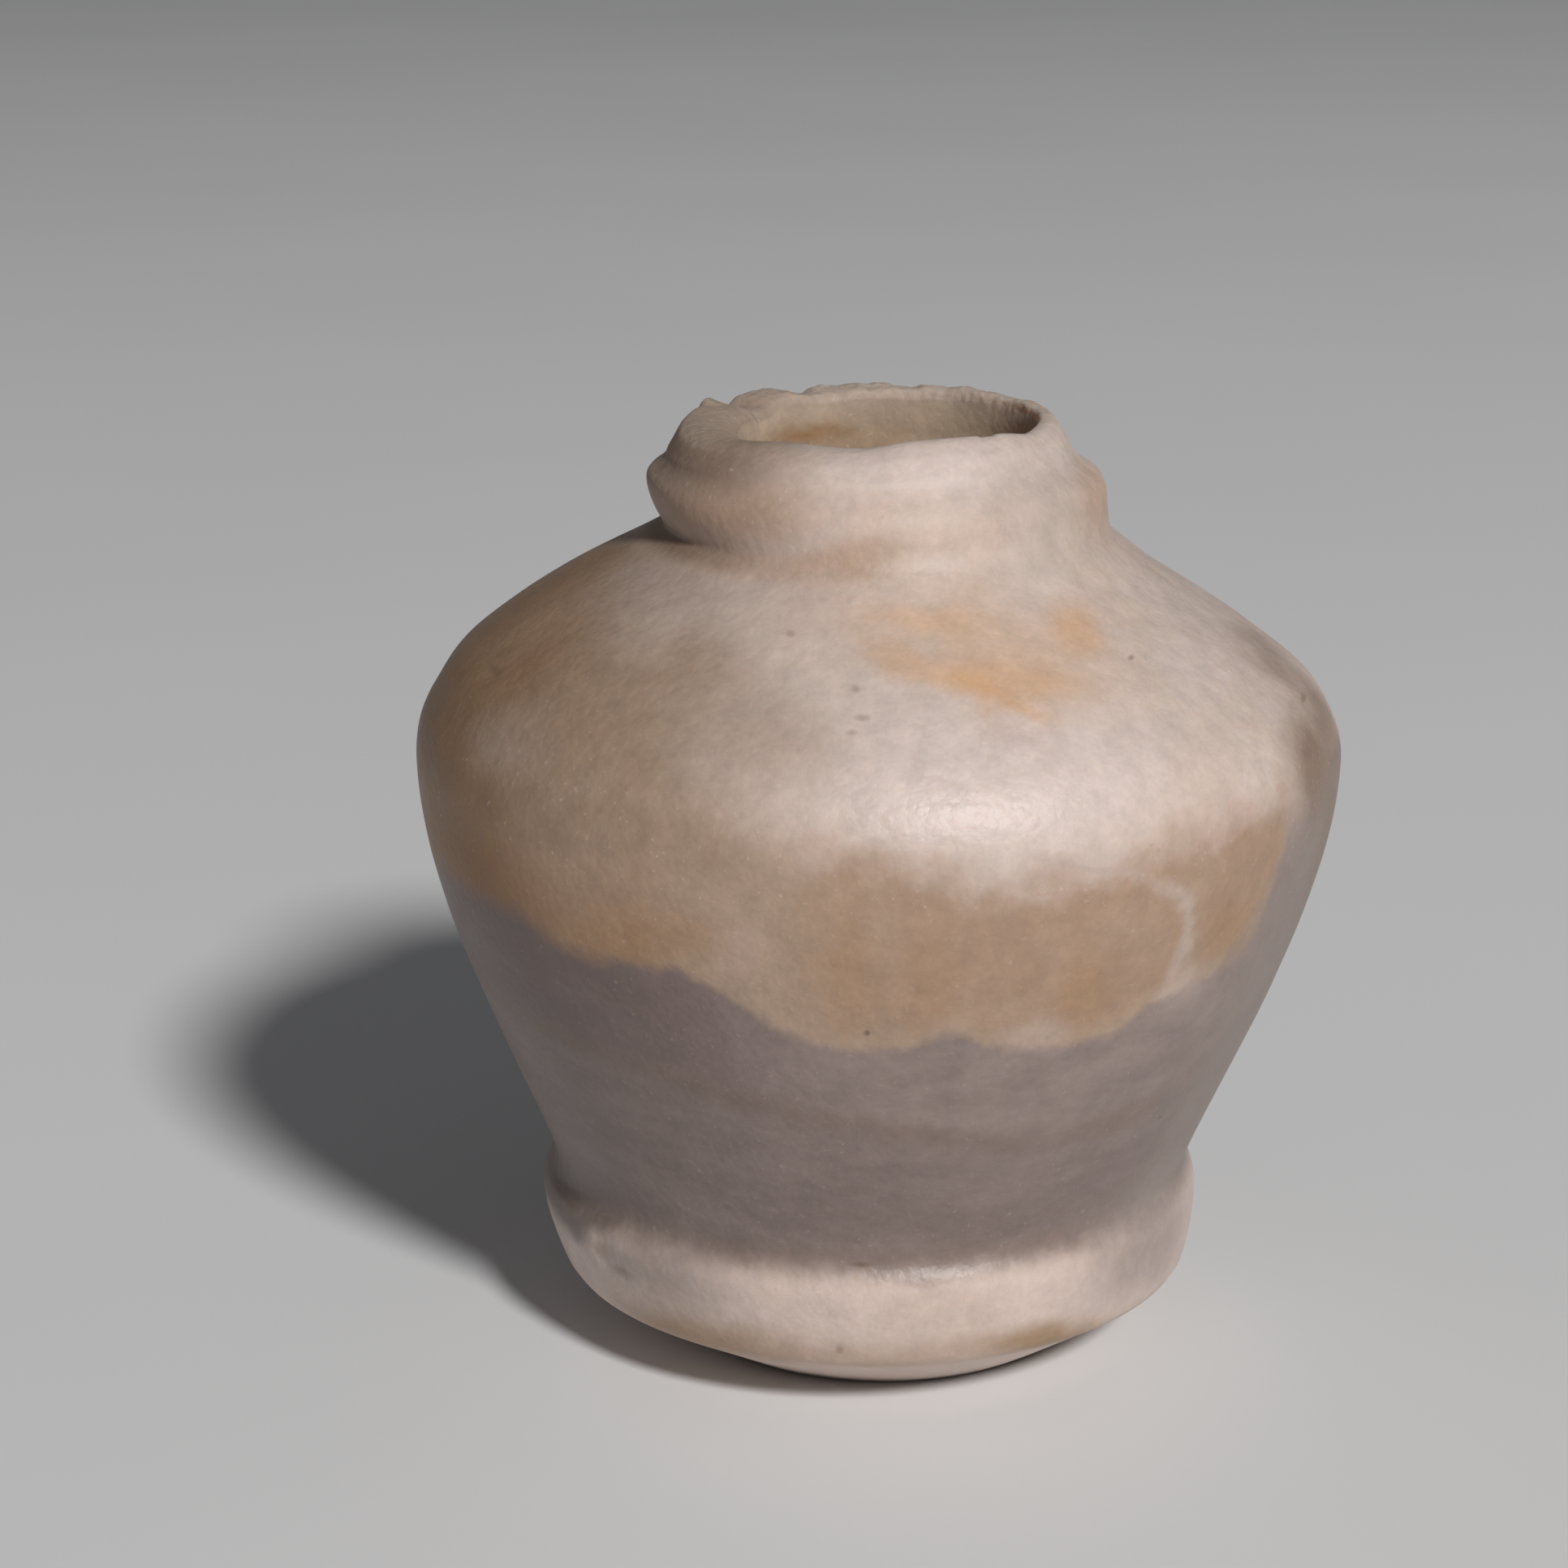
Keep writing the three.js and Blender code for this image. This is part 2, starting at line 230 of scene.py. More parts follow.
def outer_stretches(azimuth):
    """The outer face below the neck: cone, knuckle, foot top, lower body, shoulder and collar."""
    right = np.cos(azimuth)
    left_share = (1 - right) / 2
    girth = BODY_RADIUS + BODY_OVALITY * np.cos(2 * azimuth)
    undercut_share = left_share**UNDERCUT_FADE
    undercut = between(COLLAR_UNDERCUT_RIGHT, COLLAR_UNDERCUT_LEFT, undercut_share)
    crease_radius = COLLAR_RADIUS - undercut
    crease_level = COLLAR_CREASE_LEVEL - CREASE_TILT * right
    ring_level = COLLAR_RING_LEVEL - COLLAR_TILT * right
    cone_reach = CONE_RADIUS - REST_RADIUS
    body_reach = girth - FOOT_CREASE_RADIUS
    shoulder_reach = girth - COLLAR_RADIUS
    shoulder_rise = crease_level - GIRTH_LEVEL
    top_rise = WAIST_LEVEL - ring_level
    worn = near_place(azimuth, *COLLAR_WEAR)
    worn_waist = WAIST_RADIUS + COLLAR_WEAR_FILL * worn
    top_reach = between(*COLLAR_TOP_IN, worn) * (COLLAR_RADIUS - worn_waist)
    return (
        (
            KNUCKLE_STEPS,
            (CONE_RADIUS, CONE_HEIGHT),
            (CONE_RADIUS + CONE_ROUND_OUT * cone_reach, (1 + CONE_ROUND_OUT) * CONE_HEIGHT),
            (FOOT_RADIUS, FOOT_RING_LEVEL - CONE_ROUND_RISE * FOOT_SIDE_HEIGHT),
            (FOOT_RADIUS, FOOT_RING_LEVEL),
        ),
        (
            FOOT_TOP_STEPS,
            (FOOT_RADIUS, FOOT_RING_LEVEL),
            (FOOT_RADIUS, FOOT_RING_LEVEL + FOOT_TOP_RISE * FOOT_TOP_HEIGHT),
            (FOOT_CREASE_RADIUS + FOOT_TOP_IN * FOOT_CREASE_DEPTH, FOOT_CREASE_LEVEL),
            (FOOT_CREASE_RADIUS, FOOT_CREASE_LEVEL),
        ),
        (
            LOWER_BODY_STEPS,
            (FOOT_CREASE_RADIUS, FOOT_CREASE_LEVEL),
            (
                FOOT_CREASE_RADIUS + LOWER_BODY_OUT * body_reach,
                FOOT_CREASE_LEVEL + LOWER_BODY_LEAVE * LOWER_BODY_HEIGHT,
            ),
            (girth, GIRTH_LEVEL - LOWER_BODY_ARRIVE * LOWER_BODY_HEIGHT),
            (girth, GIRTH_LEVEL),
        ),
        (
            SHOULDER_STEPS,
            (girth, GIRTH_LEVEL),
            (girth, GIRTH_LEVEL + SHOULDER_LEAVE * shoulder_rise),
            (
                COLLAR_RADIUS + SHOULDER_IN * shoulder_reach,
                crease_level - SHOULDER_ARRIVE * shoulder_rise,
            ),
            (crease_radius, crease_level),
        ),
        (
            COLLAR_UNDER_STEPS,
            (crease_radius, crease_level),
            (crease_radius, crease_level),
            (COLLAR_RADIUS, ring_level - COLLAR_UNDER_ARRIVE * COLLAR_UNDER_HEIGHT),
            (COLLAR_RADIUS, ring_level),
        ),
        (
            COLLAR_TOP_STEPS,
            (COLLAR_RADIUS, ring_level),
            (COLLAR_RADIUS, ring_level + between(*COLLAR_TOP_LEAVE, worn) * top_rise),
            (
                worn_waist + top_reach,
                WAIST_LEVEL - between(*COLLAR_TOP_ARRIVE, worn) * top_rise,
            ),
            (worn_waist, WAIST_LEVEL),
        ),
    )


def spread(value, azimuth):
    """A value as one column, with a row for each bearing."""
    return np.broadcast_to(np.asarray(value, float).reshape(-1, 1), (len(azimuth), 1))


def break_rise(azimuth, share):
    """Height of the break against LIP_LEVEL, at each bearing and share of the way to the mouth."""
    worn = spread(near_place(azimuth, *FRONT_WEAR), azimuth)
    faceted = spread(near_place(azimuth, *LEFT_FACET), azimuth)
    inward = 1 - (1 - share) ** CHIP_FADE
    crown = FRONT_WEAR_CROWN * np.sin(math.pi * share)
    rise = spread(RIPPLE_HEIGHT * np.sin(RIPPLES * azimuth + RIPPLE_TURN), azimuth) + crown * worn
    rise = rise - between(FRONT_WEAR_OUTER, FRONT_WEAR_MOUTH, share) * worn
    rise = rise - between(LEFT_FACET_OUTER, LEFT_FACET_MOUTH, share) * faceted
    for at, half_width, depth, mouth in LIP_CHIPS:
        chip = spread(near_place(azimuth, at, half_width), azimuth)
        rise = rise - depth * between(1, mouth, inward) * chip
    return rise


def section_rows(azimuth):
    """Radius, level and middle of every row of the jar, one line for each bearing."""
    around = (len(azimuth), 1)
    radii, levels = [np.zeros(around)], [np.zeros(around)]
    under = REST_RADIUS * even_shares(UNDER_STEPS)[None, :]
    radii.append(np.broadcast_to(under, (len(azimuth), UNDER_STEPS)))
    levels.append(np.zeros((len(azimuth), UNDER_STEPS)))
    cone = even_shares(CONE_STEPS)[None, :]
    cone_radii = REST_RADIUS + (CONE_RADIUS - REST_RADIUS) * cone
    radii.append(np.broadcast_to(cone_radii, (len(azimuth), CONE_STEPS)))
    levels.append(np.broadcast_to(CONE_HEIGHT * cone, (len(azimuth), CONE_STEPS)))
    for steps, *corners in outer_stretches(azimuth):
        spread_corners = [[spread(axis, azimuth) for axis in corner] for corner in corners]
        radius, level = stretch(spread_corners, even_shares(steps))
        radii.append(radius)
        levels.append(level)

    outer_rise = break_rise(azimuth, np.zeros((1, 1)))
    mouth_level = LIP_LEVEL + break_rise(azimuth, np.ones((1, 1)))
    waist = WAIST_RADIUS + COLLAR_WEAR_FILL * spread(near_place(azimuth, *COLLAR_WEAR), azimuth)
    flare = waist - LIP_RADIUS
    weights = corner_weights(even_shares(NECK_STEPS)[None, :] * (1 + outer_rise / NECK_HEIGHT))
    neck = (
        (waist, WAIST_LEVEL),
        (waist - NECK_LEAVE * flare, WAIST_LEVEL + NECK_LEAVE * NECK_HEIGHT),
        (LIP_RADIUS + NECK_IN * flare, LIP_LEVEL - NECK_ARRIVE * NECK_HEIGHT),
        (LIP_RADIUS, LIP_LEVEL),
    )
    neck_radius, neck_level = (
        sum(w * corner[axis] for w, corner in zip(weights, neck)) for axis in (0, 1)
    )
    radii.append(neck_radius)
    levels.append(neck_level)
    middles = [drift_at(np.concatenate(levels, axis=1))]

    share = even_shares(BREAK_STEPS)[None, :]
    wave = 1 + np.sin(SPALLS * azimuth[:, None] + SPALL_SLANT * share)
    spall = SPALL_DEPTH * share * (1 - share) * wave
    edge_radius, edge_level = neck_radius[:, -1:], neck_level[:, -1:]
    settled = (edge_level - LIP_LEVEL - outer_rise) * (1 - share)
    radii.append(between(edge_radius, BORE_RADIUS, share))
    levels.append(LIP_LEVEL + break_rise(azimuth, share) + settled - spall)
    edge_middle = drift_at(edge_level)
    middles.append(between(edge_middle, BORE_OFFSET, share))

    wall_end = FLOOR_THICKNESS + BORE_FLOOR_ROUND
    handle = BORE_WALL_FULL * (mouth_level - wall_end)
    end_radius = BORE_RADIUS - BORE_TAPER
    wall = (
        (spread(BORE_RADIUS, azimuth), mouth_level),
        (spread(BORE_RADIUS + BORE_SWELL, azimuth), mouth_level - handle),
        (spread(BORE_RADIUS + BORE_SWELL, azimuth), wall_end + handle),
        (spread(end_radius, azimuth), spread(wall_end, azimuth)),
    )
    floor = (
        (end_radius, wall_end),
        (end_radius, wall_end - BORE_FLOOR_FULL * BORE_FLOOR_ROUND),
        (BORE_FLOOR_FULL * end_radius, FLOOR_THICKNESS),
        (0, FLOOR_THICKNESS),
    )
    floor = [[spread(axis, azimuth) for axis in corner] for corner in floor]
    wall_shares = even_shares(BORE_WALL_STEPS) ** MOUTH_CLOSENESS
    for corners, row_shares in ((wall, wall_shares), (floor, even_shares(BORE_FLOOR_STEPS))):
        radius, level = stretch(corners, row_shares)
        radii.append(radius)
        levels.append(level)
        middles.append(np.full(radius.shape, BORE_OFFSET))
    return np.concatenate(radii, 1), np.concatenate(levels, 1), np.concatenate(middles, 1)


# Edges rubbed soft: how strongly each row is drawn towards its neighbours, and how often
RUB_TIMES = 26
RUB_COLLAR = 0.85
RUB_COLLAR_PLACE = (274, 92)
RUB_BEHIND = 0.1
RUB_MOUTH = 0.7
RUB_MOUTH_PLACE = (85, 150)
RUB_FOOT = 0.5
DEEP_CREASE = (190, 75)  # where the crease under the collar stays sharp
DEEP_CREASE_KEPT = 0.85

# Bands of rows that are rubbed or cut: from which mark and to which mark, each with the rows
# beyond it, and the rows over which the band fades out at both ends
ROW_BANDS = {
    "rubbed_collar": ("collar_under", -2, "bore_wall", -4, 3),
    "rubbed_crease": ("collar_under", -4, "collar_under", 6, 4),
    "rubbed_foot": ("knuckle", 5, "lower_body", 5, 3),
    "rubbed_mouth": ("break", 10, "bore_wall", 6, 3),
    "outside": ("cone", 0, "neck", 0, 4),
    "scraped_collar": ("collar_under", 6, "neck", 6, 5),
    "broken_face": ("break", -1, "bore_wall", -1, 2),
    "drilled_wall": ("bore_wall", 3, "bore_floor", 0, 6),
    "inside": ("bore_wall", 0, "end", 0, 1),
}

# Finer work of the hand and the drill, all of it cut inwards: wavelength and depth
BROAD_UNEVENNESS = (11.0, 0.09)
MIDDLE_UNEVENNESS = (3.4, 0.034)
FINE_UNEVENNESS = (1.25, 0.016)
COLLAR_SCRAPES = (0.6, 0.028)  # short upright scrapes round the collar
SCRAPE_STRETCH = (1, 1, 0.22)
FRONT_SMOOTHED = 0.85  # how far wear has smoothed the broken face
FACET_SMOOTHED = 0.55
SMOOTH_LIP = (288, 95)  # where the broken face has worn as smooth as the neck
SMOOTH_LIP_WORN = 0.8
DRILL_RING_PITCH = 1.7
DRILL_RING_DEPTH = 0.05
DRILL_RING_WANDER = 2
DRILL_RING_WAVELENGTH = 6
BREAK_STEPS_ROUGH = ((1.7, 0.17), (0.75, 0.1), (0.36, 0.05))
DENTS = (  # place, radius, depth
    ((-13.4, -10.5, 7.0), 0.75, 0.2),
    ((-12.6, -11.6, 6.3), 0.5, 0.1),
    ((-14.6, -8.0, 5.6), 0.7, 0.14),
    ((-18.1, -8.4, 35.8), 0.5, 0.08),
    ((-0.5, -18.8, 36.2), 0.4, 0.06),
    ((20.7, -6.0, 33.8), 0.4, 0.07),
    ((11.9, -12.2, 37.3), 0.35, 0.06),
    ((-0.3, -21.3, 22.2), 0.34, 0.07),
    ((13.7, -12.4, 14.8), 0.36, 0.06),
    ((-3.8, -14.4, 39.0), 0.36, 0.05),
    ((-1.6, -16.2, 4.5), 0.5, 0.09),
    ((6.5, 17.5, 36.0), 0.5, 0.08),
    ((-16.0, 12.0, 24.0), 0.45, 0.07),
    ((9.5, 14.5, 7.2), 0.8, 0.16),
    ((16.5, 2.0, 7.6), 0.5, 0.1),
    ((4.0, 20.5, 22.0), 0.4, 0.06),
)

# Where in the noise each kind of work is cut from
UNEVENNESS_SHIFT = 7.3
SCRAPE_SHIFT = 2.1
BREAK_SHIFT = 11.7
DRILL_RING_SHIFT = 5.5


def noise_at(places, wavelength, shift):
    """Smooth noise of about -1 to 1 at each place."""
    flat = places.reshape(-1, 3) / wavelength + shift
    values = [noise.noise(Vector(place)) for place in flat]
    return np.array(values).reshape(places.shape[:-1])


def face_normals(place):
    """The outward direction at every point of the grid of bearings and rows."""
    along = np.roll(place, -1, axis=0) - np.roll(place, 1, axis=0)
    up = np.gradient(place, axis=1)
    normal = np.cross(along, up)
    length = np.linalg.norm(normal, axis=-1, keepdims=True)
    return normal / np.maximum(length, 1e-9)


def row_marks():
    """The number of the first row of each stretch of the section."""
    steps = {
        "under": UNDER_STEPS,
        "cone": CONE_STEPS,
        "knuckle": KNUCKLE_STEPS,
        "foot_top": FOOT_TOP_STEPS,
        "lower_body": LOWER_BODY_STEPS,
        "shoulder": SHOULDER_STEPS,
        "collar_under": COLLAR_UNDER_STEPS,
        "collar_top": COLLAR_TOP_STEPS,
        "neck": NECK_STEPS,
        "break": BREAK_STEPS,
        "bore_wall": BORE_WALL_STEPS,
        "bore_floor": BORE_FLOOR_STEPS,
    }
    first, marks = 1, {}
    for name, count in steps.items():
        marks[name] = first
        first += count
    marks["end"] = first
    return marks


def row_band(rows, marks, name):
    """1 on the rows of the named band, fading out beyond both of its ends."""
    first, before, last, beyond, fade = ROW_BANDS[name]
    start, end = marks[first] + before, marks[last] + beyond
    return smooth_step(rows, start - fade, start) * (1 - smooth_step(rows, end, end + fade))


def rubbed(values, share):
    """The rows of the section drawn towards their neighbours, so that edges and hollows go soft."""
    for _ in range(RUB_TIMES):
        beside = (np.roll(values, 1, axis=1) + np.roll(values, -1, axis=1)) / 2
        values = between(values, beside, share)
    return values


def rub_shares(azimuth, rows, marks):
    """How strongly each point is rubbed: the collar most at the front, the foot all round."""
    worn = near_place(azimuth, *RUB_COLLAR_PLACE)[:, None]
    collar = row_band(rows, marks, "rubbed_collar") * between(RUB_BEHIND, RUB_COLLAR, worn)
    deep = near_place(azimuth, *DEEP_CREASE)[:, None]
    kept = DEEP_CREASE_KEPT * row_band(rows, marks, "rubbed_crease") * deep
    foot = row_band(rows, marks, "rubbed_foot")
    mouth = row_band(rows, marks, "rubbed_mouth")
    mouth = mouth * near_place(azimuth, *RUB_MOUTH_PLACE)[:, None]
    softest = np.maximum(RUB_FOOT * foot, RUB_MOUTH * mouth)
    return np.maximum(collar * (1 - kept), softest)


def relief_depth(place, azimuth, rows, marks):
    """How far each point is cut in, how much of it is broken face, and how much is bore."""
    outside = row_band(rows, marks, "outside")
    collar = row_band(rows, marks, "scraped_collar")
    broken = row_band(rows, marks, "broken_face")
    bore = row_band(rows, marks, "drilled_wall")
    worn = near_place(azimuth, *FRONT_WEAR)[:, None]
    faceted = near_place(azimuth, *LEFT_FACET)[:, None]

    depth = np.zeros(place.shape[:2])
    for wavelength, amount in (BROAD_UNEVENNESS, MIDDLE_UNEVENNESS, FINE_UNEVENNESS):
        depth += outside * amount * (0.5 + 0.5 * noise_at(place, wavelength, UNEVENNESS_SHIFT))
    wavelength, amount = COLLAR_SCRAPES
    upright = place * np.array(SCRAPE_STRETCH)
    depth += collar * amount * np.maximum(noise_at(upright, wavelength, SCRAPE_SHIFT), 0)
    smoothed = (1 - FRONT_SMOOTHED * worn) * (1 - FACET_SMOOTHED * faceted)
    for wavelength, amount in BREAK_STEPS_ROUGH:
        depth += broken * amount * smoothed * np.abs(noise_at(place, wavelength, BREAK_SHIFT))
    wander = DRILL_RING_WANDER * noise_at(place, DRILL_RING_WAVELENGTH, DRILL_RING_SHIFT)
    rings = np.sin(place[..., 2] * 2 * math.pi / DRILL_RING_PITCH + wander)
    depth += bore * DRILL_RING_DEPTH * (0.5 + 0.5 * rings)
    for middle, radius, amount in DENTS:
        away = np.linalg.norm(place - np.array(middle), axis=-1) / radius
        depth += amount * np.exp(-(away**2))
    inside = row_band(rows, marks, "inside")
    smooth_lip = near_place(azimuth, *SMOOTH_LIP)[:, None]
    return depth, broken * (1 - SMOOTH_LIP_WORN * smooth_lip), inside


# Stains and clouds at their own places, with painted shade and painted highlights among them:
# strength, centre, reach and lean
STAINS = {
    # painted highlight: a bright glossy patch on the front of the shoulder where the key light shines,
    # and one on the front of the lip
    "painted_highlight": (
        (1.0, (8.5, -20.5, 34.0), (13, 6, 2.8), (0, 0.05, 0.3)),
        (0.8, (4.6, -8.6, 45.9), (5.6, 3.0, 1.5), (0, 0, 0)),
    ),
    "cream_cloud": (
        (0.6, (-10, -9, 41), (6, 6, 3), (0, 0, 0)),
        (0.4, (16.5, -6.0, 37.8), (4.5, 3, 1.0), (0, -0.6, 0)),
        (0.7, (8.8, -7.2, 43.5), (4.0, 4, 2.4), (0, 0, 0)),
        (0.4, (-16.9, -13.4, 33.6), (3.2, 3, 1.5), (0, 0, 0)),
        (0.5, (-6.6, -18.2, 35.4), (2.6, 3, 1.5), (0, 0.5, 0)),
    ),
    "grey_cloud": (
        (0.75, (-10.6, -13.2, 7.2), (3.6, 3, 1.6), (0, 0, 0)),
        (0.8, (13.4, -9.2, 7.4), (4.2, 4.5, 2.8), (0, 0, 0)),
        (0.6, (13, 9, 6.8), (4, 4, 1.8), (0, 0, 0)),
    ),
    "foot_tan": (
        (0.75, (-8.6, -13.2, 3.8), (6.4, 4, 1.4), (0, 0.1, 0)),
        (0.85, (8.4, -13.6, 3.9), (3.6, 3, 0.8), (0, -0.15, 0)),
        (0.4, (1.0, -15, 4.0), (4.6, 3, 0.8), (0, 0, 0)),
        (0.4, (2, 16, 5.2), (5, 3, 1.6), (0, 0, 0)),
    ),
    "orange_stain": (
        (0.5, (1.6, -15.9, 38.1), (2.6, 3.0, 0.45), (0, -0.33, 0)),
        (0.8, (4.7, -16.8, 37.15), (1.8, 3.0, 0.5), (0, -0.3, 0)),
        (0.55, (6.8, -17.3, 36.3), (1.5, 3.0, 0.3), (0, -0.3, 0)),
        (0.5, (6.6, -15.9, 37.5), (2.8, 3.0, 0.6), (0, -0.25, 0)),
        (0.45, (1.9, -13.8, 39.5), (2.6, 2, 0.6), (0, -0.1, 0)),
        (0.6, (9.4, -11.6, 38.8), (1.2, 2, 1.3), (0, 0, 0)),
        (0.3, (6.4, -14.4, 38.4), (5.2, 5, 1.7), (0, -0.3, 0)),
        (0.35, (-9, 14, 36), (3.4, 4, 2.2), (0, 0.2, 0)),
    ),
    "pink_cloud": (
        (0.3, (6.2, -18.3, 35.6), (1.8, 2, 0.5), (0, -0.5, 0)),
        (0.4, (-6.0, -21.4, 26.2), (1.1, 3, 1.4), (0, 0, 0)),
    ),
    "brown_stain_and_shade": (
        (0.6, (-1.0, -11.0, 41.9), (2.2, 2.4, 0.75), (0, 0.1, 0)),
        (0.25, (-5.2, -10.6, 43.4), (4.4, 3, 1.2), (0, 0.2, 0)),
        (0.5, (-7.6, -8.4, 43.5), (4.2, 4, 1.0), (0, 0.1, 0)),
        (0.5, (-15.6, -5.4, 37.4), (2.4, 3, 0.9), (0, 0.5, 0)),
        # partly a brown stain, partly painted shade on the grazing right end of the collar
        (0.55, (11.2, -3.6, 43.4), (1.6, 3.4, 1.8), (0, 0, 0)),
        (0.3, (12, 16, 33), (4.4, 3, 1.6), (0, 0.3, 0)),
    ),
    "flank_brown": (
        (1.0, (20.8, -9.6, 31.6), (1.8, 3.4, 2.3), (0, 0.1, 0)),
        (0.8, (21.9, -4.8, 32.8), (1.6, 3.0, 2.2), (0, 0, 0)),
        (0.6, (19.2, -3.4, 35.6), (1.9, 3.4, 0.6), (0, -0.7, 0)),
        (0.7, (21.8, -6.2, 26.6), (1.4, 2.2, 4.6), (0, -0.2, 0)),
    ),
    "white_cloud": (
        (0.5, (19.6, -11.6, 31.2), (0.8, 1.6, 2.2), (0, 0.1, 0)),
        (0.6, (7.4, -20.0, 21.7), (1.5, 2, 0.8), (0, 0, 0)),
        (0.4, (14.5, -15.8, 22.7), (1.3, 2, 1.0), (0, 0, 0)),
    ),
    "beige_cloud": (
        (0.35, (-4.5, -18.8, 35.4), (3.2, 3, 1.6), (0, -0.1, 0)),
        (0.4, (-12.0, -14.5, 35.2), (5.0, 4, 2.6), (0, 0.2, 0)),
    ),
    "warm_cloud": (
        (0.45, (-1.1, -22.2, 25.4), (0.8, 3, 2.6), (0, 0, 0)),
        (0.3, (2.5, -22.0, 25.0), (1.1, 3, 2.2), (0, 0, 0)),
        (0.5, (9.5, -19.6, 23.6), (1.1, 3, 1.8), (0, 0, 0)),
        (0.45, (-8.4, -20.8, 26.6), (2.0, 3, 1.0), (0, 0.2, 0)),
        (0.5, (16.4, -14.9, 25.2), (1.1, 2, 1.5), (0, 0, 0)),
    ),
    "bore_residue": (
        (0.75, (-3.6, 5.8, 44.75), (1.4, 2.0, 0.34), (0, 0, 0)),
        (0.5, (-1.9, 6.7, 44.95), (0.9, 2.0, 0.2), (0, 0, 0)),
        (0.4, (-3.0, 6.4, 44.2), (4.6, 3.0, 0.9), (0, 0, 0)),
    ),
}
STAIN_SOFTNESS = 0.75
RAGGEDNESS = 0.8  # how far the stains' outlines wander
RAGGED_WAVELENGTH = 2.2
RAGGED_SHIFTS = (3.1, 17.9, 31.3)
FINE_RAGGED_WAVELENGTH = RAGGED_WAVELENGTH / 2.7
FINE_RAGGED_SHIFTS = (5.7, 23.1, 41.9)


def stain_shares(place):
    """For each kind of stain, cloud and painted highlight, how strongly it shows at every point of the
    jar.
    """
    steps = [
        noise_at(place, RAGGED_WAVELENGTH, broad) + noise_at(place, FINE_RAGGED_WAVELENGTH, fine) / 2
        for broad, fine in zip(RAGGED_SHIFTS, FINE_RAGGED_SHIFTS)
    ]
    ragged = place + RAGGEDNESS * np.stack(steps, axis=-1) / 2
    shares = {}
    for name, spots in STAINS.items():
        bare = np.ones(place.shape[:-1])
        for strength, centre, reach, lean in spots:
            turned = (ragged - np.array(centre)) @ np.array(Euler(lean).to_matrix()).T
            away = np.linalg.norm(turned / np.array(reach), axis=-1)
            bare *= 1 - strength * (1 - smooth_step(away, 1 - STAIN_SOFTNESS, 1 + STAIN_SOFTNESS))
        shares[name] = 1 - bare
    return shares


def carve_jar():
    """The jar's fine mesh, in metres, with its broken face, bore, stains and painted highlights marked
    on it.
    """
    azimuth = np.arange(BEARINGS) * 2 * math.pi / BEARINGS
    radius, level, middle = section_rows(azimuth)
    highest = level.max()
    marks = row_marks()
    rows = np.arange(level.shape[1])[None, :]
    share = rub_shares(azimuth, rows, marks)
    radius, level, middle = (rubbed(values, share) for values in (radius, level, middle))
    across, back = np.cos(azimuth)[:, None], np.sin(azimuth)[:, None]
    place = np.stack((middle + radius * across, radius * back, level), axis=-1)

    depth, broken, bore = relief_depth(place, azimuth, rows, marks)
    place -= depth[..., None] * face_normals(place)
    place[..., 2] = np.clip(place[..., 2], 0, highest)

    # the first and last rows are single points, in the middle of the underside and the bore floor
    count = place.shape[1] - 2
    points = np.concatenate((place[:1, 0], place[:, 1:-1].reshape(-1, 3), place[:1, -1]))
    last = len(points) - 1
    faces = []
    for turn in range(BEARINGS):
        here, there = 1 + turn * count, 1 + (turn + 1) % BEARINGS * count
        faces.append((0, there, here))
        for row in range(count - 1):
            faces.append((here + row, there + row, there + row + 1, here + row + 1))
        faces.append((here + count - 1, there + count - 1, last))
    unit = (jar_box[1].z - jar_box[0].z) / highest
    mesh = bpy.data.meshes.new("carved_jar")
    mesh.from_pydata((points * unit).tolist(), [], faces)
    mesh.polygons.foreach_set("use_smooth", [True] * len(mesh.polygons))
    shares = {"break_face": broken, "bore_wall": bore, **stain_shares(place)}
    for name, share in shares.items():
        share = np.broadcast_to(share, place.shape[:2])
        values = np.concatenate(([0], share[:, 1:-1].ravel(), [0])).astype(np.float32)
        mesh.attributes.new(name, "FLOAT", "POINT").data.foreach_set("value", values)
    return mesh


# Colours of the stone, in linear light
CREAM = (0.6, 0.49, 0.43)
WARM_CREAM = (0.575, 0.45, 0.375)
# pale cream of painted highlights, and of crystal specks that are partly painted glints
SPECK_AND_HIGHLIGHT_CREAM = (0.64, 0.53, 0.48)
BEIGE = (0.39, 0.28, 0.205)
DEEP_BEIGE = (0.34, 0.235, 0.165)
# brown of the left edge: partly the stone's tone, partly painted shade
SHADED_EDGE_BROWN = (0.27, 0.157, 0.082)
# painted glow: the warm light shining through the stone at its shaded left edge, with painted shade
PAINTED_GLOW_BROWN = (0.27, 0.13, 0.045)
GREY_CREAM = (0.46, 0.37, 0.32)
TAN = (0.405, 0.272, 0.188)
DEEP_TAN = (0.36, 0.234, 0.157)
ORANGE_TAN = (0.38, 0.222, 0.115)
PALE_TAN = (0.425, 0.314, 0.234)
LILAC = (0.3, 0.232, 0.208)
# darker mauve of the lower body's left side: mostly painted shade
SHADED_MAUVE = (0.19, 0.136, 0.124)
LOW_GREY = (0.22, 0.168, 0.15)
# brown of the streak, and of painted shade in the foot's crease
STREAK_AND_SHADE_BROWN = (0.215, 0.15, 0.118)
FLANK = (0.29, 0.226, 0.196)
FLANK_BROWN = (0.255, 0.177, 0.132)
FOOT_CREAM = (0.62, 0.5, 0.44)
FOOT_GREY = (0.33, 0.268, 0.242)
FOOT_TAN = (0.31, 0.19, 0.096)
VEIN_WHITE = (0.5, 0.392, 0.335)
PINK = (0.52, 0.375, 0.315)
CRUST_BROWN = (0.4, 0.265, 0.205)
STAIN_ORANGE = (0.6, 0.355, 0.185)
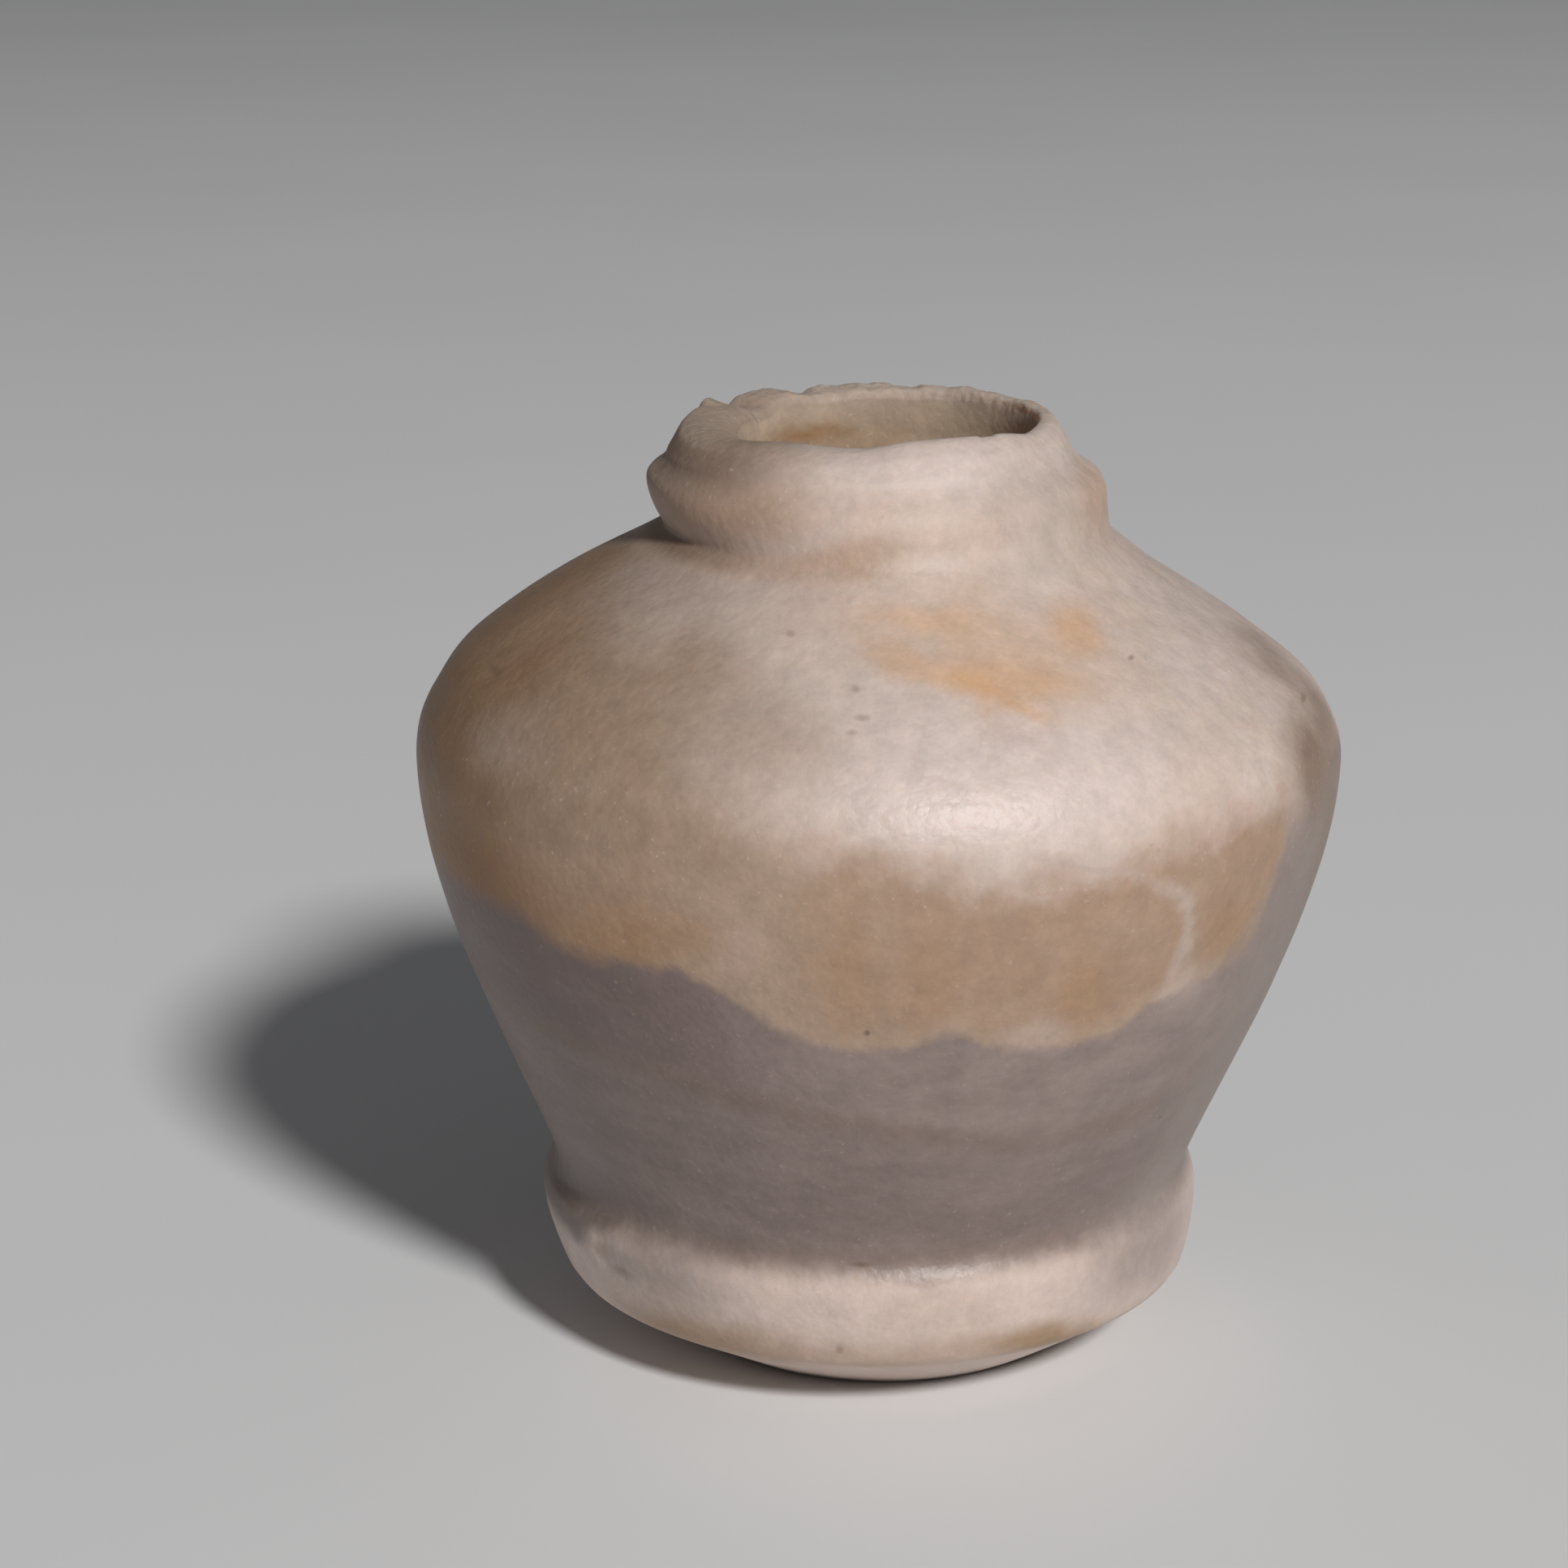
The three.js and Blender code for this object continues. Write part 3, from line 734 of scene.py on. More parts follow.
# brown of stains, and of painted shade on the collar's right end and in its crease
BROWN_STAIN_AND_SHADE = (0.43, 0.272, 0.178)
# dark dull tan of the neck's left: partly a warmer tone, mostly painted shade
SHADED_NECK_TAN = (0.25, 0.167, 0.116)
# dark brown of painted shade deep in the crease under the collar
CREASE_SHADE_BROWN = (0.2, 0.13, 0.085)
PIT_BROWN = (0.16, 0.105, 0.07)
BORE_BEIGE = (0.5, 0.385, 0.28)
BORE_TAN = (0.42, 0.31, 0.22)
# brown of the residue, and of painted shade deep in the bore
RESIDUE_AND_SHADE_BROWN = (0.29, 0.15, 0.06)
SUGARY = (0.37, 0.288, 0.225)


def wire(tree, socket, value):
    """Feeds a socket from another node's output, or sets it to a plain value."""
    if isinstance(value, bpy.types.NodeSocket):
        tree.links.new(value, socket)
    elif socket.type == "RGBA" and len(value) == 3:
        socket.default_value = (*value, 1)
    else:
        socket.default_value = value


def node(tree, kind, wires=None, **settings):
    """One shader node. A wire goes from another node's output, or is a plain value."""
    made = tree.nodes.new(kind)
    for name, value in settings.items():
        setattr(made, name, value)
    for name, value in (wires or {}).items():
        wire(tree, made.inputs[name], value)
    return made


def worked(tree, operation, *values, clamp=False):
    """One number worked out from others."""
    wires = dict(enumerate(values))
    made = node(tree, "ShaderNodeMath", wires, operation=operation, use_clamp=clamp)
    return made.outputs[0]


def moved(tree, operation, *values):
    """One vector worked out from others."""
    wires = dict(enumerate(values))
    made = node(tree, "ShaderNodeVectorMath", wires, operation=operation)
    return made.outputs["Vector"]


def eased(tree, value, low, high, start=0.0, end=1.0):
    """start where value is low, end where it is high, and a smooth step between."""
    wires = {"Value": value, "From Min": low, "From Max": high, "To Min": start, "To Max": end}
    made = node(tree, "ShaderNodeMapRange", wires, interpolation_type="SMOOTHSTEP")
    return made.outputs["Result"]


def layered(tree, share, under, over):
    """The colour over, laid on the colour under where share is 1."""
    made = node(tree, "ShaderNodeMix", {0: share, 6: under, 7: over}, data_type="RGBA")
    return made.outputs[2]


def cloud(tree, place, size, detail=2.0, rough=0.5):
    """Soft noise about 0.5 whose lumps are about size across, in millimetres."""
    wires = {"Vector": place, "Scale": 1 / size, "Detail": detail, "Roughness": rough}
    return node(tree, "ShaderNodeTexNoise", wires).outputs["Fac"]


def new_group(name, inputs, outputs):
    """A node group with named sockets: its tree, what comes in, and where its results go."""
    tree = bpy.data.node_groups.new(name, "ShaderNodeTree")
    for socket_name, kind, value in inputs:
        made = tree.interface.new_socket(name=socket_name, in_out="INPUT", socket_type=kind)
        made.default_value = value
    for socket_name in outputs:
        tree.interface.new_socket(name=socket_name, in_out="OUTPUT", socket_type="NodeSocketFloat")
    inside = tree.nodes.new("NodeGroupInput").outputs
    results = tree.nodes.new("NodeGroupOutput").inputs
    return tree, inside, results


NUMBER, VECTOR = "NodeSocketFloat", "NodeSocketVector"
MM_PER_METRE = 1000.0
PIT_REACH = (1.6, 0.3)  # where a pit starts and where it is full, as shares of its size

# Noise of the grain: size, detail and roughness
MOTTLE_CLOUD = (3.4, 4.0, 0.6)
STREAKS_CLOUD = (1.5, 3.0, 0.6)
TONE_CLOUD = (1.3, 4.0, 0.78)
SPECKLE_CLOUD = (0.26, 1.0, 0.5)
SPECKLE_SPAN = (0.66, 0.8)
UPRIGHT = (1, 1, 0.12)
CRYSTAL_SIZE = 0.5
LUMP_HEIGHT = 0.8


def pit_group():
    """A small soft-edged dark pit."""
    tree, given, results = new_group(
        "pit",
        (
            ("Place", VECTOR, (0, 0, 0)),
            ("Centre", VECTOR, (0, 0, 0)),
            ("Size", VECTOR, (1, 1, 1)),
            ("Strength", NUMBER, 1.0),
        ),
        ("Share",),
    )
    apart = moved(tree, "SUBTRACT", given["Place"], given["Centre"])
    apart = moved(tree, "DIVIDE", apart, given["Size"])
    away = node(tree, "ShaderNodeVectorMath", {0: apart}, operation="LENGTH").outputs["Value"]
    wire(tree, results["Share"], eased(tree, away, *PIT_REACH, 0.0, given["Strength"]))
    return tree


def bed_edge_group():
    """The edge of a bed in the stone: above it, and the seam along it."""
    tree, given, results = new_group(
        "bed_edge",
        (
            ("Height", NUMBER, 0.0),
            ("Edge", NUMBER, 0.0),
            ("Swing", NUMBER, 0.0),
            ("Wander", NUMBER, 0.0),
            ("Softness", NUMBER, 0.5),
            ("Seam", NUMBER, 0.5),
        ),
        ("Above", "Seam", "Distance"),
    )
    edge = worked(tree, "MULTIPLY_ADD", given["Swing"], given["Wander"], given["Edge"])
    distance = worked(tree, "SUBTRACT", given["Height"], edge)
    below = worked(tree, "MULTIPLY", given["Softness"], -1.0)
    wire(tree, results["Above"], eased(tree, distance, below, given["Softness"]))
    off = worked(tree, "ABSOLUTE", distance)
    wire(tree, results["Seam"], eased(tree, off, given["Seam"], 0.0))
    wire(tree, results["Distance"], distance)
    return tree


def stone_grain_group():
    """The crystals of the stone: mottling, upright streaks, sparkle, fine tone and fine relief."""
    tree, given, results = new_group(
        "stone_grain",
        (("Place", VECTOR, (0, 0, 0)), ("Relief Depth", NUMBER, 0.01)),
        ("Mottle", "Streaks", "Speckle", "Tone", "Relief"),
    )
    place = given["Place"]
    wire(tree, results["Mottle"], cloud(tree, place, *MOTTLE_CLOUD))
    upright = moved(tree, "MULTIPLY", place, UPRIGHT)
    wire(tree, results["Streaks"], cloud(tree, upright, *STREAKS_CLOUD))
    wire(tree, results["Tone"], cloud(tree, place, *TONE_CLOUD))
    fine = cloud(tree, place, *SPECKLE_CLOUD)
    wire(tree, results["Speckle"], eased(tree, fine, *SPECKLE_SPAN))
    cell_wires = {"Vector": place, "Scale": 1 / CRYSTAL_SIZE}
    cells = node(tree, "ShaderNodeTexVoronoi", cell_wires, feature="F1")
    lumps = worked(tree, "MULTIPLY", fine, LUMP_HEIGHT)
    lumps = worked(tree, "SUBTRACT", lumps, cells.outputs["Distance"])
    wire(tree, results["Relief"], worked(tree, "MULTIPLY", lumps, given["Relief Depth"]))
    return tree


PIT = pit_group()
BED_EDGE = bed_edge_group()
STONE_GRAIN = stone_grain_group()


def grouped(tree, group, wires):
    """One use of a node group, with its own values, and what comes out of it."""
    made = tree.nodes.new("ShaderNodeGroup")
    made.node_tree = group
    for name, value in wires.items():
        wire(tree, made.inputs[name], value)
    return made.outputs


def drawn_curve(tree, share, marks, low, high):
    """A value between low and high along a curve through marks of (share, value)."""
    made = node(tree, "ShaderNodeFloatCurve", {"Value": share})
    curve = made.mapping.curves[0]
    made.mapping.extend = "HORIZONTAL"
    while len(curve.points) < len(marks):
        curve.points.new(0.5, 0.5)
    for point, (along, value) in zip(curve.points, marks):
        point.location = (along, (value - low) / (high - low))
        point.handle_type = "AUTO_CLAMPED"
    made.mapping.update()
    return worked(tree, "MULTIPLY_ADD", made.outputs["Value"], high - low, low)


BED_LOW, BED_HIGH = 10.0, 45.0  # the heights that a bed's edge can take


def edge_height(tree, turn_share, marks):
    """The height of a bed's edge at each turn round the jar: marks are (degrees, height)."""
    marks = [(degrees / 360 + 0.5, height) for degrees, height in marks]
    return drawn_curve(tree, turn_share, marks, BED_LOW, BED_HIGH)


# Edges of the beds, as (turn, height): 0 is the better face, negative turns are to its left
WARM_BED_FOOT = (
    (-180, 27.6), (-130, 26.6), (-95, 26.3), (-66, 25.7), (-54, 25.9), (-47, 25.7), (-38, 24.7),
    (-29, 24.9), (-21.6, 24.5), (-15.8, 23.3), (-9.9, 22), (-2.8, 21.4), (5.3, 21.6), (9.2, 22),
    (14.7, 21.2), (22.4, 21), (30.6, 20.9), (36, 22), (42.4, 22.6), (47, 22.9), (51.7, 23.9),
    (54.6, 25.4), (56.5, 27.8), (58.5, 30.2), (66, 31.4), (85, 31.2), (120, 30), (150, 28.6),
    (180, 27.6),
)
TAN_BED_TOP = (
    (-180, 24.5), (-120, 25), (-88, 27.8), (-66, 29.9), (-44, 30.1), (-31, 30.2), (-21, 29.9),
    (-15, 29.9), (-8, 30.7), (-2.6, 31.0), (4.8, 30.2), (11, 29.3), (16, 29.2), (24, 29.3),
    (30, 29.6), (37, 30.2), (48, 30.7), (54, 30.9), (60, 30), (75, 27), (120, 25), (180, 24.5),
)
STREAK_LINE = (
    (-180, 19.6), (-120, 21), (-80, 20.4), (-42, 19.4), (-32, 19.1), (-21.6, 18.4), (-12.8, 17.7),
    (0.4, 16.9), (14, 15.9), (27, 15.6), (41, 15.9), (53, 17.2), (62, 19.2), (80, 21),
    (120, 20), (180, 19.6),
)
VEIN_LOW, VEIN_HIGH = 20.0, 32.0  # the heights between which the white vein is drawn
VEIN_FARTHEST = 60.0  # the turn that no part of the vein goes beyond
VEIN_LINE = (  # (height, turn)
    (20.0, 36), (21.6, 38.2), (22.4, 39.6), (23.4, 41.2), (25.4, 40.7), (27.1, 38.2), (28.6, 33.5),
    (29.6, 28), (30.2, 21), (32.0, 14),
)

# The colour of each kind of stain that the mesh carries, from the lowest layer up
STAIN_COLOURS = (
    ("grey_cloud", FOOT_GREY),
    ("foot_tan", FOOT_TAN),
    ("brown_stain_and_shade", BROWN_STAIN_AND_SHADE),
    ("beige_cloud", DEEP_BEIGE),
    ("orange_stain", STAIN_ORANGE),
    ("flank_brown", FLANK_BROWN),
    ("warm_cloud", ORANGE_TAN),
    ("pink_cloud", PINK),
    ("white_cloud", VEIN_WHITE),
)

# Pits and flaws: strength, centre, size
PITS = (
    (0.6, (-13.5, -10.6, 7.0), (0.42, 1, 0.5)),
    (0.35, (-12.5, -11.6, 6.4), (0.8, 1, 0.26)),
    (0.45, (-18.1, -8.4, 35.8), (0.5, 1, 0.16)),
    (0.35, (-3.8, -14.4, 39.0), (0.2, 1, 0.11)),
    (0.35, (-0.8, -17.5, 37.2), (0.2, 1, 0.14)),
    (0.35, (-0.5, -18.8, 36.2), (0.34, 1, 0.12)),
    (0.3, (-1.0, -19.5, 35.7), (0.22, 1, 0.1)),
    (0.6, (11.9, -12.2, 37.3), (0.17, 1, 0.1)),
    (0.65, (20.7, -6.0, 33.8), (0.2, 1, 0.15)),
    (0.85, (-0.3, -21.3, 22.2), (0.14, 1, 0.14)),
    (0.55, (13.7, -12.4, 14.8), (0.15, 1, 0.11)),
    (0.65, (-0.6, -15.9, 8.9), (0.5, 1, 0.12)),
    (0.4, (-1.6, -16.2, 4.5), (0.2, 1, 0.24)),
)


# Turns round the jar between which a layer shows, in degrees from the better face. It starts at
# the first mark, is full between the middle two, and ends at the last.
SHADED_EDGE_TURNS = (-128, -80, -64, -34)
PAINTED_GLOW_TURNS = (-128, -84, -58, -36)
SHADED_MAUVE_TURNS = (-175, -115, -34, 0)
SOFT_EDGE_TURNS = (-160, -100, -46, -24)
SHADED_FOOT_TURNS = (-170, -110, -64, -44)
SHADED_NECK_TURNS = (-170, -120, -48, -10)
PALE_GAP_TURNS = (-30, -19, -13, -4)
PALE_RIM_TURNS = (-24, -8, 80, 130)
FLANK_TURNS = (44, 60, 90, 120)
STEEP_TURNS = (46, 54, 62, 74)

# Heights between which a layer shows, in the same way
VEIN_HEIGHTS = (21.0, 22.6, 29.8, 31.2)
GIRTH_GLINT_HEIGHTS = (26.5, 29, 32.5, 35.5)

# Turns at which a layer starts, and at which it is full
LOBE_TURNS = (-19, -30)
LENS_TURNS = (40, 45)
CRUST_TURNS = (-14, 2)

# Heights at which a layer starts, and at which it is full
STREAKED_HEIGHTS = (30, 25)
SHADED_NECK_HEIGHTS = (41.4, 45.4)
DRY_HEIGHTS = (40.5, 42.5)  # the neck and collar, duller and more sugary than the body
MOUTH_HEIGHTS = (45.0, 46.4)
BORE_SHADE_HEIGHTS = (42.5, 34.0)

# How far from a bed's foot or from a crease a layer starts, and where it is full
LOBE_REACH = (4.2, 0.8)
PAINTED_GLOW_REACH = (7.5, 1.5)
PALE_RIM_REACH = (1.7, 0.1)
FOOT_STONE_REACH = (-0.2, 1.2)
FOOT_CREASE_SHADE_REACH = (1.3, 0.0)
COLLAR_STAIN_AND_SHADE_REACH = (1.0, 0.05)
DEEP_CREASE_SHADE_REACH = (0.7, 0.1)

# Where the darkening under the collar starts and where it is full, across the jar: a brown stain at
# the front with painted shade towards the left, then painted shade alone deep in the crease on the
# left
COLLAR_STAIN_AND_SHADE_SIDE = (5.0, -8.0)
DEEP_CREASE_SHADE_SIDE = (-5.0, -10.0)

# The cream stone's border: how it slants and wanders, and where it starts and is full
CREAM_SLANT = 0.55
CREAM_BROAD_WANDER = 10.0
CREAM_FINE_WANDER = 5.0
CREAM_BORDER = (8.5, 18.5)

# The warm bed's foot: how far it wanders and how soft it is, level, steep and on the left
LEVEL_WANDER = 1.5
STEEP_WANDER = 2.5
LEVEL_SOFTNESS = 0.42
STEEP_SOFTNESS = 1.6
LEFT_SOFTNESS = 0.5
FOOT_SEAM = 1.1

# Other edges of beds: how far they wander, how soft they are, how wide the seam along them is
TAN_TOP_EDGE = (3.4, 1.5, 1.5)
STREAK_EDGE = (1.6, 1.3, 1.2)
VEIN_EDGE = (9.0, 1.0, 3.4)  # measured in degrees across the vein

# The pale stone of the foot: how far above the crease it starts, its drop on the left (painted shade,
# where the darker bed comes down over the foot), its wander
FOOT_STONE_RISE = 0.3
FOOT_SHADE_DROP = 1.7
FOOT_STONE_WANDER = 1.6
FOOT_CREASE_SHADE_RISE = 0.1

# Spans of the noise over which a layer comes in
BEIGE_MOTTLE = (-0.22, 0.22)
CREAM_MOTTLE = (-0.14, 0.2)
STREAK_MOTTLE = (0.38, 0.66)
PALE_TAN_MOTTLE = (-0.05, 0.25)
PINK_MOTTLE = (-0.06, 0.1)
CRUST_MOTTLE = (0.56, 0.66)
LOW_MOTTLE = (0.4, 0.66)
LILAC_MOTTLE = (0.4, 0.62)
LINE_MOTTLE = (-0.25, 0.15)
VEIN_MOTTLE = (-0.2, 0.05)
FOOT_MOTTLE = (-0.05, 0.2)
BORE_MOTTLE = (-0.2, 0.2)

# How strongly a layer lies on the one below
SHADED_EDGE_STRENGTH = 0.88
STREAK_STRENGTH = 0.55
PALE_TAN_STRENGTH = 0.4
LOBE_STRENGTH = 0.7
LENS_STRENGTH = 0.55
PALE_GAP_STRENGTH = 0.65
CRUST_STRENGTH = 0.6
PALE_RIM_STRENGTH = 0.5
PAINTED_GLOW_STRENGTH = 0.9
LOW_STRENGTH = 0.5
LOWEST_STRENGTH = 0.6
FLANK_STRENGTH = 0.75
WARM_FOOT_STRENGTH = 0.6
FOOT_CREASE_SHADE_STRENGTH = 0.5
SHADED_NECK_STRENGTH = 0.9
SUGARY_STRENGTH = 0.6
BORE_SHADE_STRENGTH = 0.8
GIRTH_GLINT_STRENGTH = 0.36
LINE_STRENGTHS = (0.15, 0.6)  # least and most
VEIN_STRENGTHS = (0.35, 0.8)
COLLAR_STAIN_AND_SHADE_STRENGTHS = (0.05, 0.6)
DEEP_CREASE_SHADE_STRENGTHS = (0.0, 0.75)
SPECKLE_STRENGTHS = (0.16, 0.34)

# Noise of the beds: size, detail and roughness
BROAD_CLOUD = (6.5, 3.0, 0.55)
STRATA_CLOUD = (2.2, 3.0, 0.6)
SWING_CLOUD = (1.9, 3.0)
FLAT_LYING = (0.35, 0.35, 1.0)

# Surface
GRAIN_DEPTH = 0.023
BROKEN_GRAIN = 1.2
TONE_CONTRAST = 0.52
TONE_BASE = 0.74
ROUGHNESS_CONTRAST = 0.3
ROUGHNESS_BASE = 0.29
DRY_ROUGHNESS = 0.12
BROKEN_ROUGHNESS = 0.2
BORE_ROUGHNESS = 0.25
STONE_IOR = 1.5
STONE_SPECULAR = 0.42
SCATTER_WEIGHT = 0.4
SCATTER_RADIUS = (1.0, 0.6, 0.38)
SCATTER_SCALE = 0.0026


def both(tree, *shares):
    """All the shares multiplied together."""
    result = shares[0]
    for share in shares[1:]:
        result = worked(tree, "MULTIPLY", result, share)
    return result


def within(tree, value, window):
    """1 between the middle two marks of the window, easing to 0 at its outer marks."""
    low, low_full, high_full, high = window
    return both(tree, eased(tree, value, low, low_full), eased(tree, value, high, high_full))


def marked(tree, name):
    """The share that the mesh carries under this name."""
    return node(tree, "ShaderNodeAttribute", attribute_name=name).outputs["Fac"]


def off_level(tree, height, level):
    """How far a height is from a level, above or below it."""
    return worked(tree, "ABSOLUTE", worked(tree, "SUBTRACT", height, level))


def upper_stone(tree, height, x, degrees, broad, mottle):
    """Above the beds: cream on the right, warm beige clouds on the left, browner at the left edge
    (partly the stone's tone, partly painted shade), with a painted highlight and grey cream clouds
    over it.
    """
    side = worked(tree, "MULTIPLY_ADD", height, CREAM_SLANT, x)
    side = worked(tree, "MULTIPLY_ADD", broad, CREAM_BROAD_WANDER, side)
    side = worked(tree, "MULTIPLY_ADD", mottle, CREAM_FINE_WANDER, side)
    beige = layered(tree, eased(tree, mottle, *BEIGE_MOTTLE), DEEP_BEIGE, BEIGE)
    # painted shade: the beige goes browner towards the left edge, away from the light
    edge = both(tree, within(tree, degrees, SHADED_EDGE_TURNS), SHADED_EDGE_STRENGTH)
    beige = layered(tree, edge, beige, SHADED_EDGE_BROWN)
    cream = layered(tree, eased(tree, broad, *CREAM_MOTTLE), CREAM, WARM_CREAM)
    stone = layered(tree, eased(tree, side, *CREAM_BORDER), beige, cream)
    # painted highlight laid over the shoulder and the front of the lip
    stone = layered(tree, marked(tree, "painted_highlight"), stone, SPECK_AND_HIGHLIGHT_CREAM)
    return layered(tree, marked(tree, "cream_cloud"), stone, GREY_CREAM)


def bed_edge(tree, height, turn_share, swing, marks, wander, softness, seam):
    """One edge between beds, which wanders about its marks."""
    wires = {
        "Height": height,
        "Edge": edge_height(tree, turn_share, marks),
        "Swing": swing,
        "Wander": wander,
        "Softness": softness,
        "Seam": seam,
    }
    return grouped(tree, BED_EDGE, wires)


def bed_edges(tree, height, degrees, turn_share, swing):
    """The foot and top of the warm bed, and the streak below. The foot softens where it climbs."""
    steep = within(tree, degrees, STEEP_TURNS)
    softness = both(tree, within(tree, degrees, SOFT_EDGE_TURNS), LEFT_SOFTNESS)
    softness = worked(tree, "ADD", softness, LEVEL_SOFTNESS)
    steep_softness = worked(tree, "MULTIPLY", steep, STEEP_SOFTNESS)
    wander = worked(tree, "MULTIPLY_ADD", steep, STEEP_WANDER, LEVEL_WANDER)
    softness = worked(tree, "ADD", softness, steep_softness)
    along = (height, turn_share, swing)
    foot = bed_edge(tree, *along, WARM_BED_FOOT, wander, softness, FOOT_SEAM)
    top = bed_edge(tree, *along, TAN_BED_TOP, *TAN_TOP_EDGE)
    streak = bed_edge(tree, *along, STREAK_LINE, *STREAK_EDGE)
    return foot, top, streak


def tan_bed(tree, stone, height, degrees, grain, mottle, foot, top):
    """The warm bed round the girth, with its crust above, its pale rim below, and a painted warm glow
    with shade along its foot on the left.
    """
    above_foot = foot["Distance"]
    streaked = eased(tree, grain["Streaks"], *STREAK_MOTTLE)
    streaked = both(tree, streaked, eased(tree, height, *STREAKED_HEIGHTS), STREAK_STRENGTH)
    tan = layered(tree, streaked, TAN, DEEP_TAN)
    pale = eased(tree, mottle, *PALE_TAN_MOTTLE, 0.0, PALE_TAN_STRENGTH)
    tan = layered(tree, pale, tan, PALE_TAN)
    lobe = both(tree, eased(tree, degrees, *LOBE_TURNS), eased(tree, above_foot, *LOBE_REACH))
    tan = layered(tree, both(tree, lobe, LOBE_STRENGTH), tan, ORANGE_TAN)
    lens = eased(tree, degrees, *LENS_TURNS, 0.0, LENS_STRENGTH)
    tan = layered(tree, lens, tan, DEEP_TAN)
    gap = both(tree, within(tree, degrees, PALE_GAP_TURNS), PALE_GAP_STRENGTH)
    tan = layered(tree, gap, tan, PALE_TAN)
    stone = layered(tree, worked(tree, "SUBTRACT", 1.0, top["Above"]), stone, tan)
    crusted = both(tree, top["Seam"], eased(tree, degrees, *CRUST_TURNS), CRUST_STRENGTH)
    pink = both(tree, crusted, eased(tree, mottle, *PINK_MOTTLE))
    stone = layered(tree, pink, stone, PINK)
    crust = both(tree, crusted, eased(tree, grain["Tone"], *CRUST_MOTTLE))
    stone = layered(tree, crust, stone, CRUST_BROWN)
    rim = both(tree, eased(tree, above_foot, *PALE_RIM_REACH), within(tree, degrees, PALE_RIM_TURNS))
    stone = layered(tree, both(tree, rim, PALE_RIM_STRENGTH), stone, PALE_TAN)
    # painted glow and shade: saturated dark orange just above the bed's foot on the left
    painted_glow = both(tree, eased(tree, above_foot, *PAINTED_GLOW_REACH), within(tree, degrees, PAINTED_GLOW_TURNS))
    return layered(tree, both(tree, painted_glow, PAINTED_GLOW_STRENGTH), stone, PAINTED_GLOW_BROWN)


def white_vein(tree, stone, height, degrees, swing, mottle):
    """The white vein that climbs through the warm bed on the right."""
    marks = [((at - VEIN_LOW) / (VEIN_HIGH - VEIN_LOW), turned) for at, turned in VEIN_LINE]
    height_share = eased(tree, height, VEIN_LOW, VEIN_HIGH)
    height_share.node.interpolation_type = "LINEAR"
    wander, softness, seam = VEIN_EDGE
    wires = {
        "Height": degrees,
        "Edge": drawn_curve(tree, height_share, marks, 0.0, VEIN_FARTHEST),
        "Swing": swing,
        "Wander": wander,
        "Softness": softness,
        "Seam": seam,
    }
    vein = grouped(tree, BED_EDGE, wires)
    veined = both(tree, vein["Seam"], eased(tree, mottle, *VEIN_MOTTLE, *VEIN_STRENGTHS))
    veined = both(tree, veined, within(tree, height, VEIN_HEIGHTS))
    return layered(tree, veined, stone, VEIN_WHITE)


def lilac_bed(tree, degrees, strata, mottle, streak):
    """The cool bed of the lower body, with a brown streak through it, darker mauve on its left: partly
    the stone's tone, mostly painted shade.
    """
    # painted shade: the lilac goes darker mauve round the left side
    lilac = layered(tree, within(tree, degrees, SHADED_MAUVE_TURNS), LILAC, SHADED_MAUVE)
    lilac = layered(tree, eased(tree, strata, *LOW_MOTTLE, 0.0, LOW_STRENGTH), lilac, LOW_GREY)
    low = layered(tree, eased(tree, strata, *LILAC_MOTTLE), LOW_GREY, LILAC)
    low = layered(tree, LOWEST_STRENGTH, low, LOW_GREY)
    lilac = layered(tree, streak["Above"], low, lilac)
    line = both(tree, streak["Seam"], eased(tree, mottle, *LINE_MOTTLE, *LINE_STRENGTHS))
    lilac = layered(tree, line, lilac, STREAK_AND_SHADE_BROWN)
    flank = both(tree, within(tree, degrees, FLANK_TURNS), FLANK_STRENGTH)
    return layered(tree, flank, lilac, FLANK)


